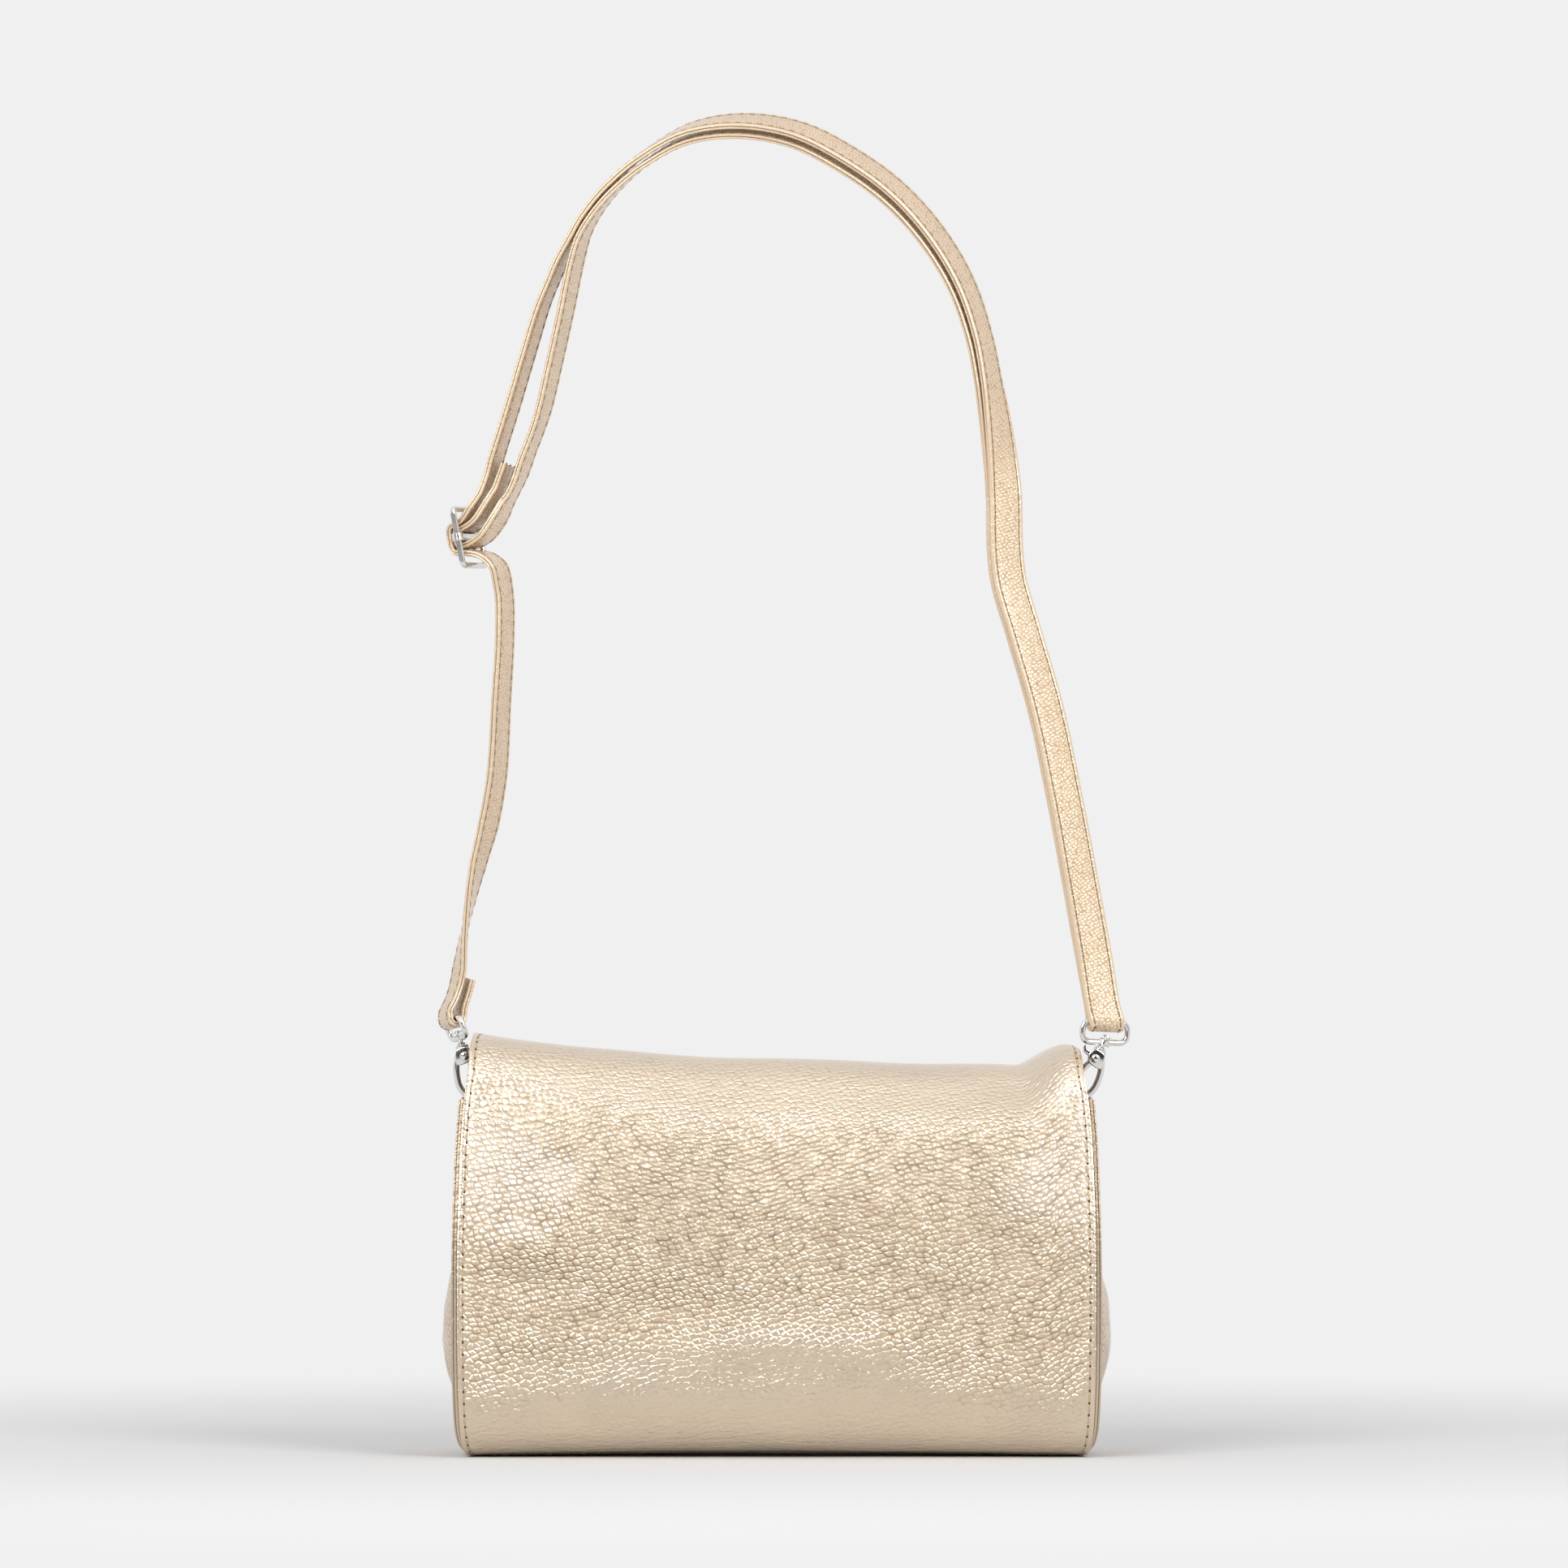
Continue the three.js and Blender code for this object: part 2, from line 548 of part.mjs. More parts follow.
function across(radius, u, v, low, high, sides = 20) {
  return rod(radius, vec(u, low, v), vec(u, high, v), sides);
}

function makeHookBody() {
  const half = HOOK_T / 2;
  const slot = GATE_SLOT / 2;
  const m = HOOK_HALF_MOUTH;
  const bow = wire([
    vec(2.4, 0, GATE_PIVOT + 0.4), vec(4.3, 0, GATE_PIVOT - 3.5), vec(m, 0, GATE_PIVOT - 7.5),
    vec(m, 0, 1.6), vec(m * 0.72, 0, HOOK_BOTTOM * 0.55), vec(0, 0, HOOK_BOTTOM),
    vec(-m * 0.72, 0, HOOK_BOTTOM * 0.55), vec(-m, 0, 1.6), vec(-m, 0, GATE_END_HEIGHT + 1),
  ], HOOK_WIRE / 2, 20);
  const cheek = EAR_RADIUS;
  const head = plate([
    [-cheek, GATE_PIVOT], [-cheek * 0.8, COLLAR_LOW + 0.3], [cheek * 0.8, COLLAR_LOW + 0.3],
    [cheek + 0.6, GATE_PIVOT], [cheek + 0.7, GATE_PIVOT - 2.6], [1.6, GATE_PIVOT - 2.6],
  ], -half, half);
  const ears = across(EAR_RADIUS, 0, GATE_PIVOT, -half, half, 18);
  const upright = (radius, low, high, sides) => rod(radius, vec(0, 0, low), vec(0, 0, high), sides);
  const collar = upright(COLLAR_RADIUS, COLLAR_LOW, COLLAR_HIGH, 16);
  const neck = upright(NECK_RADIUS, COLLAR_HIGH - 0.2, NECK_HIGH, 12);
  const post = upright(POST_RADIUS, NECK_HIGH - 0.2, POST_HEAD_LOW + 0.2, 10);
  const rivet = upright(POST_HEAD_RADIUS, POST_HEAD_LOW, POST_HEAD_LOW + POST_HEAD_T, 14);
  const slotReach = -EAR_RADIUS - 1;
  const slotTop = GATE_PIVOT + GATE_HUB_RADIUS + RUN_GAP;
  const gateSlot = plate([
    [slotReach, slotTop], [GATE_HUB_RADIUS * 0.5, slotTop], [GATE_HUB_RADIUS + RUN_GAP, GATE_PIVOT + 1],
    [GATE_HUB_RADIUS + RUN_GAP, GATE_PIVOT - 1.6], [1.3, GATE_PIVOT - EAR_RADIUS - 2],
    [slotReach, GATE_PIVOT - EAR_RADIUS - 2],
  ], -slot, slot);
  const pivot = across(RIVET_RADIUS + 0.1, 0, GATE_PIVOT, -half - 1, half + 1, 12);
  return geometryOf(cut(join(head, ears, collar, neck, post, rivet, bow), gateSlot, pivot));
}

function makeGate() {
  const low = GATE_SIDE_SHIFT - GATE_T / 2;
  const high = GATE_SIDE_SHIFT + GATE_T / 2;
  const hub = across(GATE_HUB_RADIUS, 0, GATE_PIVOT, low, high, 20);
  const stop = -HOOK_HALF_MOUTH + HOOK_WIRE / 2 + RUN_GAP;
  const arm = plate([
    [-GATE_HUB_RADIUS * 0.96, GATE_PIVOT - 0.6], [stop, GATE_END_HEIGHT + 1.2], [stop, GATE_END_HEIGHT],
    [stop + 1.9, GATE_END_HEIGHT], [0.4, GATE_PIVOT - GATE_HUB_RADIUS * 0.9],
  ], low, high);
  const thumb = plate([
    [-1.2, GATE_PIVOT + 1.75], [-4.6, GATE_PIVOT + 1.6], [-6.2, GATE_PIVOT + 3.1],
    [-6.6, GATE_PIVOT + 2.7], [-5.6, GATE_PIVOT + 0.4], [-1.4, GATE_PIVOT - 1.4],
  ], low, high);
  const bore = across(RIVET_RADIUS + 0.2, 0, GATE_PIVOT, low - 1, high + 1, 14);
  return geometryOf(cut(join(hub, arm, thumb), bore));
}

function makeRivet() {
  const seat = HOOK_T / 2 + 0.2;
  const shank = across(RIVET_RADIUS, 0, GATE_PIVOT, -seat - 0.2, seat + 0.2, 14);
  const heads = [-1, 1].map((side) => {
    const near = side * seat;
    const far = side * (seat + RIVET_HEAD_T);
    return across(RIVET_HEAD_RADIUS, 0, GATE_PIVOT, Math.min(near, far), Math.max(near, far));
  });
  return geometryOf(join(shank, ...heads));
}

// Torsion spring beside the gate's hub: a short coil round the rivet between two straight legs
function makeSpring() {
  const radius = RIVET_RADIUS + SPRING_ROOM + SPRING_WIRE / 2;
  const first = GATE_SIDE_SHIFT + GATE_T / 2 + RUN_GAP / 2 + SPRING_WIRE / 2;
  const last = first + SPRING_TURNS * SPRING_PITCH;
  const perTurn = 12;
  const legs = [GATE_PIVOT - SPRING_LEG, GATE_PIVOT - SPRING_LEG / 2];
  const points = legs.map((v) => vec(radius, first, v));
  for (let k = 0; k <= SPRING_TURNS * perTurn; k += 1) {
    const turn = k / perTurn;
    const angle = turn * 2 * Math.PI;
    const along = first + turn * SPRING_PITCH;
    points.push(vec(radius * Math.cos(angle), along, GATE_PIVOT + radius * Math.sin(angle)));
  }
  points.push(...legs.reverse().map((v) => vec(-radius, last, v)));
  return wire(points, SPRING_WIRE / 2, 26, 5);
}

// Swivel eye: an oval of wire whose lower bar widens into a boss on the hook's post
const EYE_HALF_WIDTH = (EYE_INNER_WIDTH + RING_WIRE) / 2;
const EYE_HALF_HEIGHT = (EYE_HEIGHT - RING_WIRE) / 2;

function eyeFrame(side) {
  const { sign, eyeTurn, eyeLean } = side;
  const up = vec(sign * Math.sin(rad(eyeLean)), 0, Math.cos(rad(eyeLean)));
  const wide = vec(Math.sin(rad(eyeTurn)), Math.cos(rad(eyeTurn)), 0);
  wide.addScaledVector(up, -wide.dot(up)).normalize();
  const post = vec(0, 0, EYE_ON_POST).applyMatrix4(hookMatrix(side));
  const middle = post.clone().addScaledVector(up, EYE_HALF_HEIGHT);
  const bar = middle.clone().addScaledVector(up, EYE_HALF_HEIGHT);
  return { up, wide, middle, bar };
}

class OvalPath extends THREE.Curve {
  constructor({ middle, wide, up }) {
    super();
    this.frame = { middle, wide, up };
    const a = EYE_HALF_WIDTH;
    const b = EYE_HALF_HEIGHT;
    const r = EYE_CORNER;
    const path = new THREE.Path();
    path.moveTo(0, -b);
    path.lineTo(a - r, -b);
    path.absarc(a - r, -b + r, r, -Math.PI / 2, 0);
    path.lineTo(a, b - r);
    path.absarc(a - r, b - r, r, 0, Math.PI / 2);
    path.lineTo(-a + r, b);
    path.absarc(-a + r, b - r, r, Math.PI / 2, Math.PI);
    path.lineTo(-a, -b + r);
    path.absarc(-a + r, -b + r, r, Math.PI, Math.PI * 1.5);
    path.lineTo(0, -b);
    this.path = path;
  }

  getPoint(t, target = new THREE.Vector3()) {
    const p = this.path.getPointAt(t % 1);
    const { middle, wide, up } = this.frame;
    return target.copy(middle).addScaledVector(wide, p.x).addScaledVector(up, p.y);
  }
}

function makeEye(side) {
  const matrix = hookMatrix(side);
  const oval = new THREE.TubeGeometry(new OvalPath(eyeFrame(side)), 28, RING_WIRE / 2, 8, true);
  const half = RING_WIRE / 2;
  const boss = rod(BOSS_RADIUS, vec(0, 0, EYE_ON_POST - half), vec(0, 0, EYE_ON_POST + half), 16);
  const hole = rod(BOSS_HOLE_RADIUS, vec(0, 0, NECK_HIGH - 3), vec(0, 0, POST_HEAD_LOW + 3), 14);
  const ring = join(oval, boss.applyMatrix4(matrix));
  return geometryOf(cut(ring, hole.applyMatrix4(matrix)));
}

function makeHook(name, side) {
  const matrix = hookMatrix(side);
  add(`${name}_hook_body`, makeHookBody().applyMatrix4(matrix), nickel);
  add(`${name}_gate`, makeGate().applyMatrix4(matrix), nickel);
  add(`${name}_gate_rivet`, makeRivet().applyMatrix4(matrix), nickel);
  add(`${name}_gate_spring`, makeSpring().applyMatrix4(matrix), steel);
  add(`${name}_swivel_eye`, makeEye(side), nickel);
}

// The strap's route is drawn for D-rings at this distance from the middle and this height.
// It moves out and up with them, wholly at the sides and by a share over the arch.
const ROUTE_SPREAD = 119.4;
const ROUTE_FOOT = 145;
const ROUTE_SIDE = 100;

function routePoint(x, z, y) {
  const share = THREE.MathUtils.clamp(x / ROUTE_SIDE, -1, 1);
  return vec(x + (RING_PLACE - ROUTE_SPREAD) * share, y, z + RING_TOP - ROUTE_FOOT);
}

// Slider: a wire frame with a flat bar across its middle, which the strap goes round
const SLIDER_ALONG = vec(Math.sin(rad(SLIDER_TURN)), Math.cos(rad(SLIDER_TURN)), 0);
const SLIDER_LEVEL = vec(Math.cos(rad(SLIDER_TURN)), -Math.sin(rad(SLIDER_TURN)), 0);
const SLIDER_UP = vec(0, 0, Math.cos(rad(SLIDER_LEAN)))
  .addScaledVector(SLIDER_LEVEL, -Math.sin(rad(SLIDER_LEAN)));
const SLIDER_OUT = SLIDER_ALONG.clone().cross(SLIDER_UP);
const SLIDER_MIDDLE = routePoint(SLIDER_PLACE[0], SLIDER_PLACE[1], 0);

function sliderPoint(along, out, up) {
  return SLIDER_MIDDLE.clone().addScaledVector(SLIDER_ALONG, along).addScaledVector(SLIDER_OUT, out)
    .addScaledVector(SLIDER_UP, up);
}

function sliderBlock(low, high) {
  const geometry = block(low, high);
  const basis = new THREE.Matrix4().makeBasis(SLIDER_ALONG, SLIDER_OUT.clone().negate(), SLIDER_UP);
  return geometry.applyMatrix4(basis.setPosition(SLIDER_MIDDLE));
}

function makeSlider() {
  const inner = STRAP_WIDTH / 2 + SLIDER_SIDE_GAP;
  const outer = inner + SLIDER_WIRE;
  const thick = SLIDER_WIRE / 2;
  const tall = SLIDER_HEIGHT / 2;
  const frame = cut(
    solid(sliderBlock([-outer, -thick, -tall], [outer, thick, tall])),
    sliderBlock([-inner, -thick - 1, -tall + SLIDER_WIRE], [inner, thick + 1, tall - SLIDER_WIRE]),
  );
  add('slider_frame', geometryOf(frame), nickel);
  const barHalf = SLIDER_BAR_HEIGHT / 2;
  const barEnd = inner + 0.5;
  const barThick = SLIDER_BAR_T / 2;
  const bar = sliderBlock([-barEnd, -barThick, -barHalf], [barEnd, barThick, barHalf]);
  const clampT = 0.9;
  const room = RUN_GAP / 2;
  const clamps = [-1, 1].map((end) => {
    const near = inner - room - clampT;
    const far = outer + room + clampT;
    const sleeve = [end * near, end * far].sort((a, b) => a - b);
    const hole = [end * (inner - room), end * (outer + room)].sort((a, b) => a - b);
    const deep = thick + room;
    return cut(
      solid(sliderBlock([sleeve[0], -deep - clampT, -barHalf], [sleeve[1], deep + clampT, barHalf])),
      sliderBlock([hole[0], -deep, -barHalf - 1], [hole[1], deep, barHalf + 1]),
    );
  });
  const barSolid = cut(solid(bar), ...[-1, 1].map((end) => {
    const hole = [end * (inner - room), end * (outer + room)].sort((a, b) => a - b);
    return sliderBlock([hole[0], -thick - room, -barHalf - 1], [hole[1], thick + room, barHalf + 1]);
  }));
  add('slider_bar', geometryOf(clamps.reduce((whole, part) => whole.add(part), barSolid)), nickel);
}

// Strap route, chosen by hand from the left hook's sewn loop to the end sewn round the slider.
// A station is the middle of the strap's width, and the way that its width runs.
const ARCH = vec(0.42, 0.86, 0.36);
const TURNED = vec(0.9, 0.42, 0);

function turned(degrees) {
  return vec(Math.sin(rad(degrees)), Math.cos(rad(degrees)), 0);
}

function station(x, z, wide, y = 0) {
  return { at: routePoint(x, z, y), wide };
}

// Round an eye's bar: outwards and upwards from the bar's middle
function eyeStations(side, list) {
  const { wide, bar, up } = eyeFrame(side);
  const out = wide.clone().cross(up).normalize();
  if (out.x * side.sign < 0) out.negate();
  return list.map(([q, p]) => ({ at: bar.clone().addScaledVector(out, q).addScaledVector(up, p), wide }));
}

function sliderStations(list) {
  return list.map(([q, p]) => ({ at: sliderPoint(0, q, p), wide: SLIDER_ALONG }));
}

function strapRoute() {
  const round = RING_WIRE / 2 + LOOP_GAP + STRAP_T / 2;
  const onBar = (angles) => angles.map((a) => [round * Math.cos(rad(a)), round * Math.sin(rad(a))]);
  const pair = STRAP_T + STRAND_GAP;
  const leftWide = eyeFrame(SIDES.left).wide;
  const leftLoop = [
    station(-121.9, 189, leftWide, 1.2), station(-122.6, 181, leftWide, 1.6),
    ...eyeStations(SIDES.left, [[-round * 1.3, 3.2], ...onBar([210, 255, 300, 345]), [round + 0.4, 3.5]]),
    station(-127.4, 182, leftWide), station(-125.6, 190, leftWide),
  ];
  const singleRun = [
    station(-123.6, 200.7, turned(-9)), station(-120.9, 216.6, turned(8)), station(-117.6, 232, turned(22)),
    station(-113.4, 248, turned(30)), station(-110, 268, turned(29)), station(-108.4, 296, turned(27)),
    station(-107, 322, turned(26)), station(-107.4, 340, turned(26)), station(-110, 350, SLIDER_ALONG, -3),
    station(-114.4, 353.8, SLIDER_ALONG, -2.6),
  ];
  const innerQ = SLIDER_BAR_T / 2 + LOOP_GAP + STRAP_T / 2;
  const innerP = SLIDER_BAR_HEIGHT / 2 + LOOP_GAP + STRAP_T / 2;
  const outerQ = innerQ + pair;
  const outerP = innerP + pair;
  const overBar = sliderStations([
    [0, -outerP], [-outerQ * 0.84, -outerP * 0.78], [-outerQ, 0],
    [-outerQ * 0.84, outerP * 0.78], [0, outerP],
  ]);
  const leftOuter = [
    station(-119, 371.3, SLIDER_ALONG, -0.9), station(-115.8, 377, ARCH, -0.6), station(-112.4, 385, ARCH),
    station(-109.8, 394, ARCH), station(-104.2, 412, ARCH), station(-98.4, 431.6, ARCH),
    station(-92.2, 452, ARCH), station(-87.6, 463.4, ARCH), station(-84.2, 471.4, ARCH),
    station(-80, 479.3, ARCH),
  ];
  const doubled = [
    station(-73.2, 488.2, ARCH), station(-65, 498.6, ARCH), station(-52, 510, ARCH),
    station(-34, 520, ARCH), station(-14, 523, ARCH), station(8, 519.5, ARCH), station(28, 509.5, ARCH),
    station(46, 496.5, ARCH), station(61, 480, ARCH), station(72.5, 461, ARCH),
    station(79.5, 441, ARCH), station(83.6, 421, vec(0.5, 0.8, 0.2)), station(87, 400, vec(0.75, 0.66, 0.08)),
    station(89.4, 378, TURNED), station(89.8, 358, TURNED), station(91.3, 344, TURNED),
    station(97.4, 323, TURNED), station(106, 293, TURNED), station(113.4, 258, TURNED),
    station(119.4, 226, turned(68)), station(124.8, 196, turned(72)),
  ];
  const strand = (shift) => doubled.map(({ at, wide }, k) => {
    const before = doubled[Math.max(0, k - 1)].at;
    const after = doubled[Math.min(doubled.length - 1, k + 1)].at;
    const along = after.clone().sub(before).normalize();
    const inwards = wide.clone().cross(along).normalize();
    return { at: at.clone().addScaledVector(inwards, shift), wide };
  });
  const rightLoop = eyeStations(SIDES.right, [
    [round, 8], ...onBar([360, 315, 270, 225, 180]), [-round, 8],
  ]);
  const leftInner = [
    station(-76.1, 479.6, ARCH), station(-78.6, 471.2, ARCH), station(-80.4, 463, ARCH),
    station(-83, 450, ARCH), station(-87.4, 430, ARCH), station(-92.4, 409, ARCH), station(-98.2, 393, ARCH),
    station(-101.4, 384, ARCH), station(-105.6, 375.4, ARCH), station(-110, 367.4, SLIDER_ALONG, -2.5),
    station(-114.8, 361, SLIDER_ALONG, -2.4),
  ];
  const sewnEnd = [
    ...sliderStations([
      [0, -innerP], [-innerQ * 0.9, -innerP * 0.82], [-innerQ, 0],
      [-innerQ * 0.9, innerP * 0.82], [0, innerP],
    ]),
    station(-117, 367.2, SLIDER_ALONG, -1.6), station(-113, 372.6, SLIDER_ALONG, -1.4),
    station(-109.6, 379, ARCH), station(-105.6, 389.5, ARCH),
  ];
  return [
    ...leftLoop, ...singleRun, ...overBar, ...leftOuter,
    ...strand(-pair / 2), ...rightLoop, ...strand(pair / 2).reverse(),
    ...leftInner, ...sewnEnd,
  ];
}

function makeStrap() {
  const route = strapRoute();
  const path = new THREE.CatmullRomCurve3(route.map(({ at }) => at), false, 'centripetal');
  const perSpan = 2;
  const steps = (route.length - 1) * perSpan;
  const points = [];
  for (let k = 0; k <= steps; k += 1) {
    const t = k / steps;
    const span = Math.min(route.length - 2, Math.floor(k / perSpan));
    const share = k / perSpan - span;
    const along = path.getTangent(t);
    const wide = route[span].wide.clone().lerp(route[span + 1].wide, share);
    wide.addScaledVector(along, -wide.dot(along)).normalize();
    const face = wide.clone().cross(along).normalize();
    const middle = path.getPoint(t);
    for (const [w, f] of [[-1, -1], [1, -1], [1, 1], [-1, 1]]) {
      const edge = middle.clone().addScaledVector(wide, w * STRAP_WIDTH / 2);
      points.push(edge.addScaledVector(face, f * STRAP_T / 2));
    }
  }
  const triangles = [];
  for (let k = 0; k < steps; k += 1) {
    const heart = vec(0, 0, 0);
    for (let c = 0; c < 8; c += 1) heart.addScaledVector(points[k * 4 + c], 1 / 8);
    const far = (p, q) => points[p].clone().add(points[q]).multiplyScalar(0.5).distanceTo(heart);
    for (let c = 0; c < 4; c += 1) {
      const a = k * 4 + c;
      const b = k * 4 + (c + 1) % 4;
      // A twisted face is split along its hollow diagonal, so the strands keep their gap.
      if (far(a, b + 4) <= far(b, a + 4)) triangles.push(a, b, b + 4, a, b + 4, a + 4);
      else triangles.push(a, b, a + 4, b, b + 4, a + 4);
    }
  }
  const last = steps * 4;
  triangles.push(0, 2, 1, 0, 3, 2, last, last + 1, last + 2, last, last + 2, last + 3);
  add('strap', closed(points, triangles), strapLeather);
}

makePanels();
makeLining();
makeFlap();
for (const [name, side] of Object.entries(SIDES)) {
  makeGusset(name, side.sign);
  makeTabAndRing(name, side.sign);
  makeHook(name, side);
}
makeSlider();
makeStrap();

export default bag;
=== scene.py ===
import math

import bmesh
import bpy
import numpy as np
from mathutils import Matrix, Vector, noise


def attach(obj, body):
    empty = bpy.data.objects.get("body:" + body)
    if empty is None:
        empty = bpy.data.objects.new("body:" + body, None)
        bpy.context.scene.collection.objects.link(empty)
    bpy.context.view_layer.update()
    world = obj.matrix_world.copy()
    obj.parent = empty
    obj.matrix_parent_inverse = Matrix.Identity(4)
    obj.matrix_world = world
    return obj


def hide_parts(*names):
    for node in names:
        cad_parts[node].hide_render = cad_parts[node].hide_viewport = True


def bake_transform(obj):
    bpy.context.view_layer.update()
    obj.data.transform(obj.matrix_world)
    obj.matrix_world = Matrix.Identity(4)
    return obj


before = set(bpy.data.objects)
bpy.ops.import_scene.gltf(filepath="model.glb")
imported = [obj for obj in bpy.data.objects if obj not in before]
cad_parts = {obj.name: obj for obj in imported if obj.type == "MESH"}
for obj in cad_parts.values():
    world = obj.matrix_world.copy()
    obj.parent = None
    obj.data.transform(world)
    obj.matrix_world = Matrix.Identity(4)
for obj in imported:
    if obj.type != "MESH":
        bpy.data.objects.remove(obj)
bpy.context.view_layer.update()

# Camera: level with the middle of the picture, far off with a long lens, looking straight at
# the sewn rear face. The frame is square and 615 mm wide at the bag.
CAMERA_AWAY = 5.0
CAMERA_PLACE = (0.0029, -CAMERA_AWAY, 0.264)
FRAME_WIDTH = 0.6153
BAG_PLANE = -0.015
SENSOR = 36.0


def add_object(name, data):
    """A new object in the scene for a mesh, a lamp or a camera."""
    piece = bpy.data.objects.new(name, data)
    bpy.context.scene.collection.objects.link(piece)
    return piece


camera_data = bpy.data.cameras.new("camera")
camera_data.sensor_width = SENSOR
camera_data.lens = SENSOR * (CAMERA_AWAY + BAG_PLANE) / FRAME_WIDTH
camera_data.clip_end = 50
camera = add_object("camera", camera_data)
camera.location = CAMERA_PLACE
camera.rotation_euler = (math.radians(90), 0, 0)
bpy.context.scene.camera = camera
bpy.context.scene.view_settings.view_transform = "Standard"


# Rear panel and flap: one length of metallic pebbled leatherette on a cloth back. It starts at
# the base seam, swells over the rear, folds over the mouth and hangs down the far side as the flap.
# The fold sinks between its stiff corners, and the left corner stands a little higher.
MM = 0.001  # shapes are drawn in millimetres
LEATHER_T = 1.6
SEAM_INSET = 2.2  # stitch line, in from the edge
FURROW = 0.35  # how deep the thread pulls the skin in
FURROW_HALF = 0.8
PANEL_HALF = 124  # half the panels' width, for measures in from their edges
SWELL_POWER = 2.6  # how squarely the panels swell between their seams
CORNER_POWER = 9  # how tightly the corners turn
# Each row: half width, then depth and height at the side seam, then at the middle of the bag.
REAR_FORM = [
    (121.2, -12.0, 0.4, -12.0, 1.7), (122.4, -19.5, 1.9, -20.0, 3.2), (123.8, -28.0, 9.0, -29.4, 9.6),
    (124.5, -33.2, 22.0, -35.2, 22.0), (124.8, -35.6, 38.0, -38.6, 38.0), (124.9, -36.2, 54.0, -40.4, 55.0),
    (124.9, -35.8, 72.0, -41.4, 73.0), (124.7, -34.4, 90.0, -40.8, 91.0), (124.2, -31.2, 108.0, -38.2, 107.0),
    (123.5, -27.8, 125.0, -33.0, 121.0), (122.3, -24.8, 141.0, -25.4, 132.5),
    (120.6, -21.6, 153.5, -17.0, 141.6), (120.0, -14.4, 161.8, -8.6, 149.6), (119.2, -4.0, 165.8, 0.5, 154.2),
    (117.6, 8.0, 165.8, 9.5, 155.4), (114.4, 19.5, 162.4, 20.0, 153.4), (111.2, 28.5, 155.0, 29.0, 147.5),
    (108.8, 33.0, 144.5, 34.6, 138.0), (105.8, 36.4, 127.0, 39.4, 123.0), (103.6, 39.3, 108.0, 42.8, 106.0),
    (101.4, 41.4, 93.0, 45.2, 92.0), (98.6, 42.4, 82.0, 46.2, 78.5), (94.5, 42.8, 74.5, 46.6, 69.0),
    (90.5, 43.1, 69.8, 46.9, 61.6),
]
BODY_ROWS = 11  # the rows below the fold
FOLD_ROWS = range(10, 17)
FLAP_END_ROWS = range(21, 24)  # the rows that round the flap's lower corners
REAR_ROWS, ROW_SPACING = 230, 1.31  # mesh rows of the finished skin, and the way between them
RIGHT_CORNER_DROP = 6.2
EAR_START, EAR_END = 0.79, 0.985  # the right corner stands up as a narrow ear
FOLD_TILT = 2.4  # how far the fold slopes down to the right
FAR_SIDE = 20  # depth past which the length hangs as the flap
FACING_DEPTH = 24  # depth at which the skin faces straight to the rear
PRESSED_REACH = 3.2  # width of the edge that the sewing presses flat
# Soft dents in the rear, each as its place across, height, depth, and spread each way.
DENTS = [
    (-101, 69, 2.6, 20, 6), (-98, 84, -1.7, 24, 7), (-76, 104, -3.0, 36, 32), (-58, 60, 0.9, 30, 9),
    (0, 58, 1.5, 60, 9), (10, 92, -0.9, 50, 12), (62, 74, 0.9, 40, 10), (88, 108, -3.0, 30, 32),
    (94, 146, 2.4, 15, 5), (40, 118, 1.2, 44, 9), (104, 52, 1.4, 20, 9), (-96, 38, 1.1, 30, 7),
    (-20, 36, 0.8, 50, 7),
]


def distance_along(points):
    """How far along a line of points each of them lies."""
    return np.concatenate([[0], np.cumsum(np.linalg.norm(np.diff(points, axis=0), axis=1))])


def curve_through(points, count, closed=False):
    """Evenly spaced points on a smooth curve through the given ones."""
    points = np.asarray(points, float)
    if closed:
        ends = np.vstack([points[-1], points, points[:2]])
    else:
        ends = np.vstack([2 * points[0] - points[1], points, 2 * points[-1] - points[-2]])
    t = np.linspace(0, 1, 16, endpoint=False)[:, None]
    fine = []
    for k in range(1, len(ends) - 2):
        a, b, c, d = ends[k - 1:k + 3]
        fine.append(0.5 * (2 * b + (c - a) * t + (2 * a - 5 * b + 4 * c - d) * t ** 2
                           + (3 * b - a - 3 * c + d) * t ** 3))
    fine = np.vstack(fine + [ends[-2][None]])
    run = distance_along(fine)
    even = np.linspace(0, run[-1], count + closed)[:count]
    return np.stack([np.interp(even, run, fine[:, k]) for k in range(fine.shape[1])], 1)


def soft_waves(x, z, seed, size, height):
    """Slow uneven waves of a soft skin."""
    return height * noise.noise(Vector((x / size, z / size, seed)))


def columns_across(inner, close_from=0.945):
    """Places across a panel from -1 to 1, close together at the two stitched edges."""
    edge = np.linspace(close_from, 1, 15)
    return np.concatenate([-edge[::-1], np.linspace(-close_from, close_from, inner)[1:-1], edge])


def swell(u):
    """How much of a panel's fullness there is at one place across it."""
    return 1 - abs(u) ** SWELL_POWER


